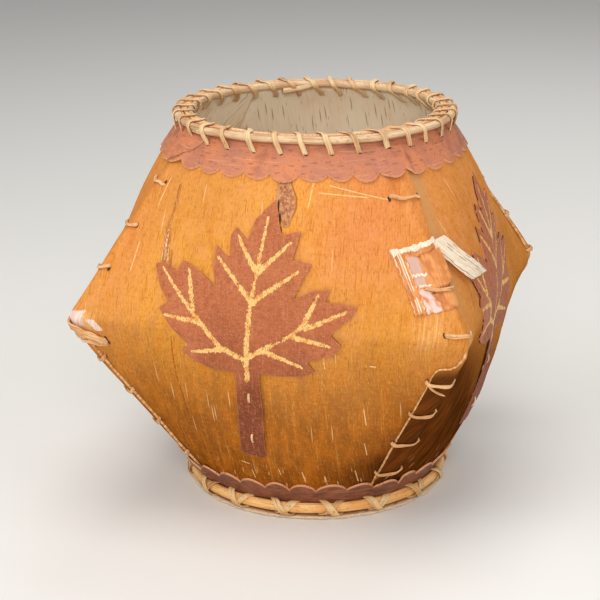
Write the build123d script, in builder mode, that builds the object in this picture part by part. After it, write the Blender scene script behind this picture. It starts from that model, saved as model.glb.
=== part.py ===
from build123d import *
from functools import cache
from math import atan2, ceil, cos, pi, radians, sin, sqrt
import os

os.makedirs("parts", exist_ok=True)

# A basket of four sewn birch bark walls. It stands on a round foot, swells to four blunt corners
# and closes to a round mouth. Z is up and the floor's underside is at Z = 0. Side 0 faces -Y (the
# front), side 1 +X, side 2 +Y and side 3 -X. Corner k stands at the start of side k, seen from
# outside on its left. All lengths are in millimetres.

# The four walls, measured over their outer face
foot_radius = 80.5
mouth_radius = 84.5
corner_reach = 178.5
side_reach = 123.0
foot_height = 10.0
collar_height = 248.0
wall_top = 253.0
wall_thickness = 2.0
tip_front_left = 139.0
tip_front_right = 142.0
tip_back_right = 125.0
tip_back_left = 134.0

# The floor, which is a disc of thick bark under the walls
floor_thickness = 2.0
floor_overhang = 6.6

# The laps of the sewn seams. Front and back lap over their neighbours above the corners, and the
# left and right walls lap over theirs below them.
lap_thickness = 1.4
lap_gap = 0.3
lap_rise = 6.0
upper_lap = 6.0
lower_lap_front_left = 3.5
lower_lap_front_right = 12.0
lower_lap_back_right = 8.0
lower_lap_back_left = 8.0
upper_lap_tip_clearance = 3.0
lower_lap_tip_clearance = 16.0
lap_band_clearance = 1.5

# Scalloped bark bands at the mouth and the foot
band_thickness = 1.2
band_gap = 0.1
top_band_cusp_height = 231.0
top_scallop_depth = 4.0
top_scallops = 36
bottom_band_cusp_height = 23.5
bottom_scallop_depth = 3.5
bottom_scallops = 32
band_hoop_gap = 0.1

# Hoops of split root
outer_rim_rod = 5.5
inner_rim_rod = 4.5
foot_rod = 5.5
rim_rod_height = 251.0
foot_rod_height = 8.8

# Root lashings and sewing
lashing_diameter = 1.8
lashing_clearance = 0.3
rim_wraps = 34
foot_wraps = 17
wrap_share = 0.34
wrap_slant = 0.03
thread_diameter = 1.6
thread_clearance = 0.4
hole_clearance = 0.6
stitch_pitch = 23.0
upper_stitch_tip_distance = 2.0
lower_stitch_tip_distance = 11.0
stitch_band_distance = 8.0
upper_anchor = 12.0
lower_anchor = 4.0

# Leaf appliques of thin bark, sewn on with pairs of short stitches
leaf_thickness = 0.9
leaf_gap = 0.1
leaf_height = 168.0
leaf_foot_height = 50.0
front_leaf_shift = -11.0
right_leaf_shift = -16.0
back_leaf_shift = -6.0
left_leaf_shift = -9.0
leaf_stitch_length = 7.0
leaf_stitch_heights = (12.0, 42.0)
leaf_thread_diameter = 1.0
leaf_thread_rise = 1.2

# Torn bark by the front right corner
patch_thickness = 0.9
patch_width = 24.0
patch_top = 192.0
patch_bottom = 158.0
patch_facets = 3
peel_thickness = 0.7
peel_width = 10.0
peel_start_height = 189.0
peel_end_height = 163.0
peel_reach = 36.0
peel_lift = 7.0

tips = (tip_front_left, tip_front_right, tip_back_right, tip_back_left)
lower_laps = (lower_lap_front_left, lower_lap_front_right, lower_lap_back_right, lower_lap_back_left)
belly_height = sum(tips) / 4
lap_lift = lap_gap + lap_thickness
sides = ("front", "right", "back", "left")
corners = ("front_left", "front_right", "back_right", "back_left")
quarter = pi / 4
level_step = 30.0
corner_run = 1e-6
small_step = 1.0
straight_enough = 1e-4


def circle_through(a, b, c):
    """Centre and radius of the circle through three points of a plane."""
    (ax, ay), (bx, by), (cx, cy) = a, b, c
    d = 2 * (ax * (by - cy) + bx * (cy - ay) + cx * (ay - by))
    aa, bb, cc = ax * ax + ay * ay, bx * bx + by * by, cx * cx + cy * cy
    x = (aa * (by - cy) + bb * (cy - ay) + cc * (ay - by)) / d
    y = (aa * (cx - bx) + bb * (ax - cx) + cc * (bx - ax)) / d
    return x, y, sqrt((ax - x) ** 2 + (ay - y) ** 2)


bow_x, bow_z, bow_radius = circle_through(
    (foot_radius, foot_height), (side_reach, belly_height), (mouth_radius, collar_height)
)


def seam_radius(corner, z):
    """A seam runs straight from the foot to the tip of its corner, and straight on to the mouth."""
    tip = tips[corner % 4]
    if z <= tip:
        share = max(0.0, z - foot_height) / (tip - foot_height)
        return foot_radius + (corner_reach - foot_radius) * share
    share = max(0.0, collar_height - z) / (collar_height - tip)
    return mouth_radius + (corner_reach - mouth_radius) * share


def side_distance(z):
    """The middle of a side follows one arc from the foot over the belly to the mouth."""
    if z <= foot_height:
        return foot_radius
    if z >= collar_height:
        return mouth_radius
    return bow_x + sqrt(bow_radius**2 - (z - bow_z) ** 2)


def bow(start, end, middle):
    """Control points of a cubic from corner to corner past the middle of a side that faces +X.

    Where the three radii are the same the cubic is a quarter circle. The second value is the angle
    between the cubic's ends and its chord.
    """
    a = Vector(start * cos(quarter), -start * sin(quarter))
    d = Vector(end * cos(quarter), end * sin(quarter))
    chord = d - a
    along = chord.normalized()
    out = Vector(along.Y, -along.X)
    sagitta = (middle - (a + d).X / 2) / out.X
    circle_share = min(1.0, max(0.0, sagitta / (chord.length * (sqrt(2) - 1) / 2)))
    reach = chord.length * (1 / 3 - circle_share * (1 / 3 - (sqrt(2) - 1) * 2 / 3))
    lift = sagitta * 4 / 3
    return (a, a + along * reach + out * lift, d - along * reach + out * lift, d), atan2(lift, reach)


@cache
def drawn_curve(side, z, offset):
    """Control points, at height z, of the face that lies offset outside a wall's outer face."""
    start, end = seam_radius(side, z), seam_radius(side + 1, z)
    middle = side_distance(z)
    slope = bow(start, end, middle)[1]
    grow = offset / cos(quarter - slope)
    points = bow(start + grow, end + grow, middle + offset)[0]
    return [p.rotate(Axis.Z, 90 * (side - 1)) + Vector(0, 0, z) for p in points]


@cache
def wall_levels(side):
    """Heights of a wall's sections, with one at the tip of each of its corners."""
    marks = {floor_thickness, foot_height, tips[side], tips[(side + 1) % 4], collar_height, wall_top}
    marks = sorted(marks)
    heights = []
    for a, b in zip(marks, marks[1:]):
        steps = ceil((b - a) / level_step)
        heights += [a + (b - a) * i / steps for i in range(steps)]
    return heights + [wall_top]


def face_curve(side, z, offset):
    """The face's control points at any height: a wall is straight from each section to the next."""
    heights = wall_levels(side)
    above = next((i for i, height in enumerate(heights) if height >= z and i > 0), len(heights) - 1)
    low, high = heights[above - 1], heights[above]
    share = (z - low) / (high - low)
    pairs = zip(drawn_curve(side, low, offset), drawn_curve(side, high, offset))
    return [a + (b - a) * share for a, b in pairs]


def spot(side, z, run, offset):
    """A point at height z, run along the side from its left corner, or back from the right one."""
    a, b, c, d = face_curve(side, z, offset)
    t = run / (d - a).length
    if run < 0:
        t += 1
    return a * (1 - t) ** 3 + b * 3 * t * (1 - t) ** 2 + c * 3 * t * t * (1 - t) + d * t**3


def outward(side, z, run):
    """The level direction square to a wall's face."""
    return (spot(side, z, run, 1) - spot(side, z, run, 0)).normalized()


def levels(side, low, high):
    """Heights of the sections of a shell that lies on a wall from low to high."""
    return [low] + [z for z in wall_levels(side) if low < z < high] + [high]


def shell_section(side, z, inner, outer):
    """One level section of a shell that follows a side, between two offsets from its face."""
    far, near = face_curve(side, z, outer), face_curve(side, z, inner)
    with BuildSketch(Plane.XY.offset(z)) as section:
        with BuildLine(Plane.XY.offset(z)):
            Bezier(*far)
            Line(far[3], near[3])
            Bezier(*reversed(near))
            Line(near[0], far[0])
        make_face()
    return section.sketch


def shell_sections(side, low, high, inner, outer):
    return [shell_section(side, z, inner, outer) for z in levels(side, low, high)]


def polygon_section(points):
    """A level section with straight edges."""
    with BuildSketch(Plane.XY.offset(points[0].Z)) as section:
        with BuildLine(Plane.XY.offset(points[0].Z)):
            Polyline(*points, close=True)
        make_face()
    return section.sketch


def lap_sides(corner, upper):
    """The wall that laps, the wall under it, and which end of the lapping wall is at the corner."""
    left, right = (corner - 1) % 4, corner
    if (left % 2 == 0) == upper:
        return left, right, -1
    return right, left, 1


def lap_span(corner, upper):
    if upper:
        low = tips[corner] + upper_lap_tip_clearance
        return low, top_band_cusp_height - top_scallop_depth - lap_band_clearance
    high = tips[corner] - lower_lap_tip_clearance
    return bottom_band_cusp_height + bottom_scallop_depth + lap_band_clearance, high


def lap_width(corner, upper):
    return upper_lap if upper else lower_laps[corner]


def lap_sections(corner, upper):
    """Sections of the flap that turns round a corner and lies on the neighbouring wall."""
    own, other, end = lap_sides(corner, upper)
    width = lap_width(corner, upper)
    sections = []
    for z in levels(other, *lap_span(corner, upper)):
        sections.append(polygon_section([
            spot(own, z, end * lap_rise, 0),
            spot(own, z, end * corner_run, lap_lift),
            spot(other, z, -end * width, lap_lift),
            spot(other, z, -end * width, lap_gap),
            spot(own, z, end * corner_run, lap_gap),
            spot(own, z, end * lap_rise, -wall_thickness / 2),
        ]))
    return sections


def biarc(start, leave, finish, arrive):
    """Two arcs that leave start along one direction and reach finish along another."""
    across = finish - start
    if max(across.normalized().cross(way).length for way in (leave, arrive)) < straight_enough:
        return [Edge.make_line(start, finish)]
    both = leave + arrive
    a = 4 - both.dot(both)
    b = across.dot(both)
    square = across.dot(across)
    d = square / (2 * b) if a < straight_enough**2 else (sqrt(b * b + a * square) - b) / a
    first, second = start + leave * d, finish - arrive * d
    middle = (first + second) / 2
    pieces = []
    for p, q, direction in ((start, middle, leave), (middle, finish, (second - first).normalized())):
        if (q - p).normalized().cross(direction).length < straight_enough:
            pieces.append(Edge.make_line(p, q))
        else:
            pieces.append(Edge.make_tangent_arc(p, direction, q))
    return pieces


def root_route(stations):
    """The centre line of a root that passes each station along its direction."""
    edges = []
    for (p, leave), (q, arrive) in zip(stations, stations[1:]):
        edges += biarc(p, leave, q, arrive)
    return Wire(edges)


def least_gap(route, diameter):
    """The least distance between two turns of a root, between their surfaces."""
    step = diameter / 2
    count = int(route.length / step)
    points = [route.position_at(i / count) for i in range(count + 1)]
    apart = int(4 * diameter / step)
    least = route.length
    for i, p in enumerate(points):
        for q in points[i + apart:]:
            dx, dy, dz = p.X - q.X, p.Y - q.Y, p.Z - q.Z
            if abs(dz) < least and abs(dx) < least:
                least = min(least, sqrt(dx * dx + dy * dy + dz * dz))
    return least - diameter


def root_section(stations, diameter):
    with BuildSketch(Plane(origin=stations[0][0], z_dir=stations[0][1])) as section:
        Circle(diameter / 2)
    return section.sketch


def wrap_stations(first, turns, pitch, reach, height):
    """Stations of a root that winds round a hoop and through the wall beside it.

    reach gives the radii of the root inside, at both ends of its ways across, and outside, and how
    far the ways across lie above and below the hoop. A turn starts inside, and the outer part of it
    takes wrap_share of the way to the next turn.
    """
    inside, inner, outer, outside, rise = reach
    below, above = 0.5 - wrap_share / 2, 0.5 + wrap_share / 2
    marks = (
        (0, inside, 0), (below - wrap_slant, inner, -rise), (below + wrap_slant, outer, -rise),
        (0.5, outside, 0), (above - wrap_slant, outer, rise), (above + wrap_slant, inner, rise),
    )
    stations = []
    for turn in range(turns):
        points = []
        for share, radius, up in marks:
            angle = first + pitch * (turn + share)
            points.append(Vector(radius * cos(angle), radius * sin(angle), height + up))
        down = points[1] - points[0]
        down = Vector(down.X, down.Y, -2 * rise).normalized()
        up = points[4] - points[2]
        across, back = (points[2] - points[1]).normalized(), (points[5] - points[4]).normalized()
        stations += zip(points, (down, across, across, up.normalized(), back, back))
    return stations


def seam_stations(corner, upper):
    """Stations of the root that whips a seam, and the holes that it goes through."""
    own, other, end = lap_sides(corner, upper)
    low, high = lap_span(corner, upper)
    anchor = upper_anchor if upper else lower_anchor
    landing = lap_width(corner, upper) + hole_size / 2 + thread_clearance
    bend = wall_thickness / 2 + thread_rise
    low += upper_stitch_tip_distance if upper else stitch_band_distance
    high -= stitch_band_distance if upper else lower_stitch_tip_distance
    count = int((high - low) / stitch_pitch) + 1
    heights = [low + (high - low) * i / (count - 1) for i in range(count)]
    stations, holes = [], []
    over_patch = patch_thickness + lap_gap if corner == patch_corner and upper else 0.0

    def lifted(run):
        return lap_lift * max(0.0, 1 - run / lap_rise)

    def raised(run):
        return over_patch + thread_rise + lifted(run)

    for i, z in enumerate(heights):
        out, into = outward(own, z, end * anchor), outward(other, z, -end * landing) * -1
        leave = spot(own, z, end * anchor, lifted(anchor) - wall_thickness / 2)
        enter = spot(other, z, -end * landing, -wall_thickness / 2)
        holes += [(own, leave, out), (other, enter, into)]
        if i == 0:
            stations.append((leave - out * (wall_thickness / 2 + thread_diameter), out))
        stations.append((leave, out))
        near = anchor - bend
        first = spot(own, z, end * near, raised(near))
        before = spot(own, z, end * (near + small_step), raised(near))
        stations.append((first, (first - before).normalized()))
        over = spot(own, z, end * corner_run, raised(0))
        ahead = spot(other, z, -end * 2 * small_step, raised(0))
        behind = spot(own, z, end * 2 * small_step, raised(0))
        stations.append((over, (ahead - behind).normalized()))
        far = landing - bend
        last = spot(other, z, -end * far, lap_lift + thread_rise)
        after_last = spot(other, z, -end * (far + small_step), lap_lift + thread_rise)
        stations.append((last, (after_last - last).normalized()))
        stations.append((enter, into))
        if i == count - 1:
            stations.append((enter + into * (wall_thickness / 2 + thread_diameter), into))
            continue
        after = heights[i + 1]
        inside = enter + into * bend
        next_inside = spot(own, after, end * anchor, -wall_thickness - thread_rise)
        way = (next_inside - inside).normalized()
        stations.append((inside + way * bend, way))
        stations.append((next_inside - way * bend, way))
    return stations, holes


hole_size = thread_diameter + hole_clearance
lashing_hole = lashing_diameter + hole_clearance
leaf_hole = leaf_thread_diameter + hole_clearance
thread_rise = thread_diameter / 2 + thread_clearance
hole_depth = 6 * wall_thickness
patch_corner = 1
corner_margin = radians(2.5)

# Where the lashings run. Their loops clear the hoops, the bands and the wall.
band_reach = band_gap + band_thickness
outer_rim_radius = mouth_radius + band_reach + band_hoop_gap + outer_rim_rod / 2
inner_rim_radius = mouth_radius - wall_thickness - inner_rim_rod / 2
foot_hoop_radius = foot_radius + band_reach + band_hoop_gap + foot_rod / 2
lashing_rise = lashing_diameter / 2 + lashing_clearance
foot_inside = foot_radius - wall_thickness - lashing_rise - lashing_diameter / 2
crossing_step = lashing_diameter + lashing_clearance
rim_pitch = 2 * pi / rim_wraps
foot_pitch = 2 * pi / foot_wraps
rim_reach = (
    inner_rim_radius - inner_rim_rod / 2 - lashing_rise, inner_rim_radius, outer_rim_radius,
    outer_rim_radius + outer_rim_rod / 2 + lashing_rise, outer_rim_rod / 2 + lashing_rise,
)
foot_under_reach = (
    foot_inside, foot_radius - wall_thickness - lashing_clearance, foot_hoop_radius,
    foot_hoop_radius + foot_rod / 2 + lashing_rise, foot_rod / 2 + lashing_rise,
)
foot_over_reach = (
    foot_inside - crossing_step, *foot_under_reach[1:3],
    foot_under_reach[3] + crossing_step, foot_under_reach[4],
)
half_turns = rim_wraps // 2
rim_runs = {
    "rim_lashing_front": wrap_stations(0, half_turns, -rim_pitch, rim_reach, rim_rod_height),
    "rim_lashing_back": wrap_stations(
        -rim_pitch * half_turns, rim_wraps - half_turns, -rim_pitch, rim_reach, rim_rod_height
    ),
}
foot_runs = {
    "foot_lashing_under": wrap_stations(pi / 2, foot_wraps, foot_pitch, foot_under_reach, foot_rod_height),
    "foot_lashing_over": wrap_stations(pi / 2, foot_wraps, -foot_pitch, foot_over_reach, foot_rod_height),
}


def lashing_holes(runs, low, high):
    """Level planes across the wall, one for each way of a winding root through it."""
    planes = []
    for stations in runs.values():
        for (point, way), (end, _) in zip(stations, stations[1:]):
            if abs(point.Z - end.Z) < straight_enough and low < point.Z < high:
                planes.append(Plane(origin=(point + end) / 2, z_dir=way))
    return planes


rim_holes = lashing_holes(rim_runs, foot_height, rim_rod_height)
foot_holes = lashing_holes(foot_runs, 0, collar_height)
seams = {(corner, upper): seam_stations(corner, upper) for corner in range(4) for upper in (True, False)}


def faces_side(plane, side):
    """True where a plane's origin lies within a side's quarter of the plan, or just past it."""
    out = Vector(plane.origin.X, plane.origin.Y).normalized()
    return out.dot(Vector(1, 0, 0).rotate(Axis.Z, 90 * (side - 1))) > cos(quarter + corner_margin)


# A leaf with five lobes, as width and height from the foot of its stem, for a leaf 168 high
leaf_drawn_height = 168.0
leaf_outline = (
    (15, 168), (20, 148), (32, 151), (28, 134), (40, 133), (29, 111), (40, 117), (52, 119), (49, 111),
    (69, 110), (66, 104), (53, 92), (60, 86), (55, 79), (38, 73), (43, 67), (35, 63), (20, 62),
    (8, 64), (9, 36), (7, 0), (-10, 2), (-8, 34), (-7, 63), (-22, 64), (-34, 68), (-42, 74),
    (-37, 78), (-49, 90), (-56, 100), (-50, 104), (-56, 113), (-60, 125), (-53, 126), (-45, 122),
    (-41, 129), (-29, 123), (-20, 116), (-22, 128), (-21, 140), (-12, 133), (-12, 146), (-9, 151),
    (-1, 144), (3, 156), (10, 163),
)
leaf_scale = leaf_height / leaf_drawn_height
leaf_shifts = (front_leaf_shift, right_leaf_shift, back_leaf_shift, left_leaf_shift)
leaf_reach = leaf_gap + leaf_thickness


def side_plane(side):
    """An upright plane through the axis, seen from outside a side: x along the side, y up."""
    out = Vector(1, 0, 0).rotate(Axis.Z, 90 * (side - 1))
    return Plane(origin=(0, 0, 0), x_dir=out.rotate(Axis.Z, 90), z_dir=out)


def stem_spot(side, height, offset):
    """A point on the middle of a leaf's stem, and the direction square to the wall there."""
    z = leaf_foot_height + height
    run = leaf_shifts[side] - face_curve(side, z, 0)[0].dot(side_plane(side).x_dir)
    return spot(side, z, run, offset), outward(side, z, run)


def leaf_stitches(side):
    """Stations of the short upright stitches on the stem of a side's leaf."""
    stitches = []
    rise = leaf_reach + leaf_thread_rise
    for foot in leaf_stitch_heights:
        head = foot + leaf_stitch_length
        low, out = stem_spot(side, foot, -wall_thickness - leaf_thread_diameter)
        high, head_out = stem_spot(side, head, -wall_thickness - leaf_thread_diameter)
        middle = stem_spot(side, (foot + head) / 2, rise)[0]
        stitches.append([
            (low, out),
            (stem_spot(side, foot, leaf_reach - leaf_thread_diameter / 2)[0], out),
            (middle, (high - low).normalized()),
            (stem_spot(side, head, leaf_reach - leaf_thread_diameter / 2)[0], head_out * -1),
            (high, head_out * -1),
        ])
    return stitches


def sewing_holes(side):
    return [
        Plane(origin=point, z_dir=out)
        for _, holes in seams.values() for wall, point, out in holes if wall == side
    ]


def leaf_holes(side):
    return [Plane(origin=p, z_dir=way) for stitch in leaf_stitches(side) for p, way in (stitch[0], stitch[4])]


def save(part, name):
    part.label = name
    export_step(part, f"parts/{name}.step")


# The floor
with BuildPart() as floor_disc:
    with BuildSketch():
        Circle(foot_radius + floor_overhang)
    extrude(amount=floor_thickness)
save(floor_disc.part, "floor_disc")

# The four walls, each with the laps that it carries and its sewing holes
for side, name in enumerate(sides):
    with BuildPart() as wall_panel:
        loft(shell_sections(side, floor_thickness, wall_top, -wall_thickness, 0), ruled=True)
        for corner in (side, (side + 1) % 4):
            for upper in (True, False):
                if lap_sides(corner, upper)[0] == side:
                    loft(lap_sections(corner, upper), ruled=True)
        with Locations(*sewing_holes(side)):
            Cylinder(hole_size / 2, hole_depth, mode=Mode.SUBTRACT)
        with Locations(*[p for p in rim_holes + foot_holes if faces_side(p, side)]):
            Cylinder(lashing_hole / 2, hole_depth, mode=Mode.SUBTRACT)
        with Locations(*leaf_holes(side)):
            Cylinder(leaf_hole / 2, hole_depth, mode=Mode.SUBTRACT)
    save(wall_panel.part, f"{name}_wall")


def scallop_notch(angle, radius, count, cusp_height, depth, upwards):
    """What is cut away between the lowest points of two scallops, seen from outside."""
    half = pi * radius / count
    sign = 1 if upwards else -1
    plane = Plane(
        origin=(0, 0, cusp_height),
        x_dir=(-sin(angle), cos(angle), 0),
        z_dir=(cos(angle), sin(angle), 0),
    )
    bulge = half * (1 - cos(quarter)) / 2
    across, up = half / 2 - bulge, sign * (depth / 2 + bulge)
    with BuildSketch(plane) as notch:
        with BuildLine():
            left = ThreePointArc((-half, sign * depth), (-across, up), (0, 0))
            right = ThreePointArc((0, 0), (across, up), (half, sign * depth))
            Polyline(right @ 1, (half, sign * depth * 2), (-half, sign * depth * 2), left @ 0)
        make_face()
    return notch.sketch


def cut_scallops(radius, count, cusp_height, depth, upwards):
    """Cuts every notch out of the band that is being made."""
    for i in range(count):
        angle = 2 * pi * (i + 0.5) / count
        notch = scallop_notch(angle, radius, count, cusp_height, depth, upwards)
        extrude(notch, amount=corner_reach, mode=Mode.SUBTRACT)


# The scalloped bands
with BuildPart() as top_band:
    for side in range(4):
        loft(
            shell_sections(side, top_band_cusp_height - top_scallop_depth, wall_top, band_gap, band_reach),
            ruled=True,
        )
    top_radius = seam_radius(1, top_band_cusp_height)
    cut_scallops(top_radius, top_scallops, top_band_cusp_height, top_scallop_depth, False)
    with Locations(*rim_holes):
        Cylinder(lashing_hole / 2, hole_depth, mode=Mode.SUBTRACT)
save(top_band.part, "top_band")

with BuildPart() as bottom_band:
    for side in range(4):
        loft(
            shell_sections(
                side, floor_thickness, bottom_band_cusp_height + bottom_scallop_depth, band_gap, band_reach
            ),
            ruled=True,
        )
    bottom_radius = seam_radius(1, bottom_band_cusp_height)
    cut_scallops(bottom_radius, bottom_scallops, bottom_band_cusp_height, bottom_scallop_depth, True)
    with Locations(*foot_holes):
        Cylinder(lashing_hole / 2, hole_depth, mode=Mode.SUBTRACT)
save(bottom_band.part, "bottom_band")

# The hoops
hoops = {
    "outer_rim_hoop": (outer_rim_radius, outer_rim_rod, rim_rod_height),
    "inner_rim_hoop": (inner_rim_radius, inner_rim_rod, rim_rod_height),
    "foot_hoop": (foot_hoop_radius, foot_rod, foot_rod_height),
}
for name, (radius, rod, height) in hoops.items():
    with BuildPart() as hoop:
        with BuildSketch(Plane.XZ):
            with Locations((radius, height)):
                Circle(rod / 2)
        revolve(axis=Axis.Z)
    save(hoop.part, name)

# The lashings round the hoops
for name, stations in {**rim_runs, **foot_runs}.items():
    route = root_route(stations)
    with BuildPart() as lashing:
        sweep(root_section(stations, lashing_diameter), path=route)
    print(name, "length", round(route.length), "least gap", round(least_gap(route, lashing_diameter), 2))
    save(lashing.part, name)

# The sewing of the eight half seams
for (corner, upper), (stations, _) in seams.items():
    name = f"{'upper' if upper else 'lower'}_seam_root_{corners[corner]}"
    route = root_route(stations)
    with BuildPart() as sewing:
        sweep(root_section(stations, thread_diameter), path=route)
    print(name, "length", round(route.length), "least gap", round(least_gap(route, thread_diameter), 2))
    save(sewing.part, name)

for side, name in enumerate(sides):
    shift = leaf_shifts[side]
    outline = [(shift + x * leaf_scale, leaf_foot_height + y * leaf_scale) for x, y in leaf_outline]
    low, high = leaf_foot_height - leaf_gap, leaf_foot_height + leaf_height + leaf_gap
    with BuildPart() as leaf:
        loft(shell_sections(side, low, high, leaf_gap, leaf_reach), ruled=True)
        with BuildSketch(side_plane(side)):
            with BuildLine():
                Polyline(*outline, close=True)
            make_face()
        extrude(amount=corner_reach, mode=Mode.INTERSECT)
        with Locations(*leaf_holes(side)):
            Cylinder(leaf_hole / 2, hole_depth, mode=Mode.SUBTRACT)
    save(leaf.part, f"{name}_leaf")
    with BuildPart() as stitching:
        for stations in leaf_stitches(side):
            sweep(root_section(stations, leaf_thread_diameter), path=root_route(stations))
    save(stitching.part, f"{name}_leaf_stitches")

# The torn bark patch, sewn flat to the front wall beside its front right corner, and the strip of
# its outer layer that has peeled off and curls away over the right wall
patch_rise = lap_lift + lap_gap
with BuildPart() as torn_patch:
    flat_width = patch_width - lap_rise - lap_gap * 2
    patch_line = [(-patch_width + flat_width * i / patch_facets, lap_gap) for i in range(patch_facets + 1)]
    patch_line.append((-lap_gap, patch_rise))
    patch_sections = []
    for z in levels(0, patch_bottom, patch_top):
        under = [spot(0, z, run, rise) for run, rise in patch_line]
        over = [spot(0, z, run, rise + patch_thickness) for run, rise in patch_line]
        patch_sections.append(polygon_section(under + over[::-1]))
    loft(patch_sections, ruled=True)
    with Locations(*[Plane(origin=point, z_dir=out) for _, point, out in seams[patch_corner, True][1]]):
        Cylinder(hole_size / 2, hole_depth, mode=Mode.SUBTRACT)
    start = spot(0, peel_start_height, -lap_gap * 2, patch_rise + patch_thickness / 2)
    end = spot(1, peel_end_height, peel_reach, peel_lift)
    along = (end - start).normalized()
    middle_height, middle_run = (peel_start_height + peel_end_height) / 2, peel_reach / 2
    level = spot(1, middle_height, peel_reach, 0) - spot(1, middle_height, corner_run, 0)
    up = spot(1, peel_start_height, middle_run, 0) - spot(1, peel_end_height, middle_run, 0)
    across = along.cross(level.cross(up)).normalized()
    with BuildSketch(Plane(origin=start, x_dir=along, z_dir=across)):
        with BuildLine():
            length, arch = (end - start).length, peel_lift / 2
            under = ThreePointArc((0, 0), (length / 2, arch), (length, 0))
            over = ThreePointArc(
                (length, peel_thickness), (length / 2, arch + peel_thickness), (0, peel_thickness)
            )
            Line(under @ 1, over @ 0)
            Line(over @ 1, under @ 0)
        make_face()
    extrude(amount=peel_width / 2, both=True)
save(torn_patch.part, "torn_patch")
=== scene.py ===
# %% [markdown]
# # A birch bark basket
# Four sheets of bark stand on a round foot, swell to four blunt corners and close to a round mouth.
# They are sewn with split root, bound with scalloped bands and trimmed with bark leaves. The packed
# model gives every place. This script adds what the eye looks for: the fold of each sheet, the cut
# edges, the roots and the grain.

# %% Load the frame
from math import cos, pi, radians, sin, sqrt

import bpy
import numpy as np
from mathutils import Matrix, Vector
from mathutils.geometry import delaunay_2d_cdt


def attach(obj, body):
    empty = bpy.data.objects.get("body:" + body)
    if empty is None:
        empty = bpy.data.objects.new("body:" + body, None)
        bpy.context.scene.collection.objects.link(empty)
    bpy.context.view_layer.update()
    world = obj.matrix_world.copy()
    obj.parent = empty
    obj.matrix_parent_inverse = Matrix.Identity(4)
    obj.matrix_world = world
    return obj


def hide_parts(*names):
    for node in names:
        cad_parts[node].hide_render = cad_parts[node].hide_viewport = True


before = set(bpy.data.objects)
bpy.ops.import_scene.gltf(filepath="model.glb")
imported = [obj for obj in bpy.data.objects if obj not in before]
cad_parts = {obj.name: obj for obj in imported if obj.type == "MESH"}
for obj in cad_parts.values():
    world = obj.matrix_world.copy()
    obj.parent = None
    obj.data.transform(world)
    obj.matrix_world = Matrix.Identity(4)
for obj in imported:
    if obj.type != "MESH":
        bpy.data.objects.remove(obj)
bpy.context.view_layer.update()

# %% [markdown]
# ## The sizes
# Everything is worked out in millimetres and turned to metres where a mesh is made. These are the
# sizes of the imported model.

# %% Sizes
MM = 0.001
foot_radius, mouth_radius = 80.5, 84.5
corner_reach, side_reach = 178.5, 123.0
foot_height, collar_height, wall_top = 10.0, 248.0, 253.0
tips = np.array([139.0, 142.0, 125.0, 134.0])
wall_thickness, lap_thickness, lap_gap, lap_rise = 2.0, 1.4, 0.3, 6.0
lap_lift = lap_thickness + lap_gap
floor_thickness = 2.0
lower_laps = (3.5, 12.0, 8.0, 8.0)
upper_lap = 6.0
rim_height, foot_rod_height = 251.0, 8.8
outer_hoop_radius, inner_hoop_radius, foot_hoop_radius = 88.65, 80.25, 84.65
outer_rod, inner_rod, foot_rod = 5.5, 4.5, 5.5
leaf_foot = 50.0
leaf_shifts = (-11.0, -16.0, -6.0, -9.0)
sides = ("front", "right", "back", "left")
corners = ("front_left", "front_right", "back_right", "back_left")
print("foot", 2 * foot_radius, "mm, mouth", 2 * mouth_radius, "mm, height", wall_top, "mm")

# %% [markdown]
# ## The face of the walls
# All four walls lie on one closed surface. A point on it is named by how far round it is (0 at the
# front left corner, 1 at the front right one, and so on to 4) and by its height. At each height
# every side is one cubic curve. Real bark is never quite flat, so the surface gets a faint wave.

# %% The wall surface
def circle_through(a, b, c):
    """Centre and radius of the circle through three points of a plane."""
    (ax, ay), (bx, by), (cx, cy) = a, b, c
    d = 2 * (ax * (by - cy) + bx * (cy - ay) + cx * (ay - by))
    aa, bb, cc = ax * ax + ay * ay, bx * bx + by * by, cx * cx + cy * cy
    x = (aa * (by - cy) + bb * (cy - ay) + cc * (ay - by)) / d
    y = (aa * (cx - bx) + bb * (ax - cx) + cc * (bx - ax)) / d
    return x, y, sqrt((ax - x) ** 2 + (ay - y) ** 2)


def seam_radius(corner, z):
    """Straight from the foot to the tip, then straight to the mouth."""
    tip = tips[corner % 4]
    low = np.clip((z - foot_height) / (tip - foot_height), 0, 1)
    high = np.clip((collar_height - z) / (collar_height - tip), 0, 1)
    share = np.where(z <= tip, low, high)
    return np.where(z <= tip, foot_radius, mouth_radius) * (1 - share) + corner_reach * share


def side_distance(z):
    """The middle of a side follows one arc from the foot over the belly to the mouth."""
    foot, belly, mouth = (
        (foot_radius, foot_height), (side_reach, tips.mean()), (mouth_radius, collar_height)
    )
    x, height, radius = circle_through(foot, belly, mouth)
    arc = x + np.sqrt(radius**2 - (np.clip(z, foot_height, collar_height) - height) ** 2)
    return np.where(z <= foot_height, foot_radius, np.where(z >= collar_height, mouth_radius, arc))


def side_curves(start, end, middle):
    """Control points of a cubic from corner to corner, bowed out to pass the middle distance.

    The handles leave the chord by 4/3 of the bow's height, as a cubic's must, and their length
    goes from a third of the chord to that of a quarter circle as the bow grows.
    """
    c = cos(pi / 4)
    a, d = np.stack([start * c, -start * c], -1), np.stack([end * c, end * c], -1)
    chord = d - a
    length = np.linalg.norm(chord, axis=-1, keepdims=True)
    along = chord / length
    out = np.stack([along[:, 1], -along[:, 0]], -1)
    sagitta = ((middle - (a + d)[:, 0] / 2) / out[:, 0])[:, None]
    share = np.clip(sagitta / (length * (sqrt(2) - 1) / 2), 0, 1)
    reach = length * (1 / 3 - share * (1 / 3 - (sqrt(2) - 1) * 2 / 3))
    lift = sagitta * 4 / 3
    return np.stack([a, a + along * reach + out * lift, d - along * reach + out * lift, d], 1)


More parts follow.
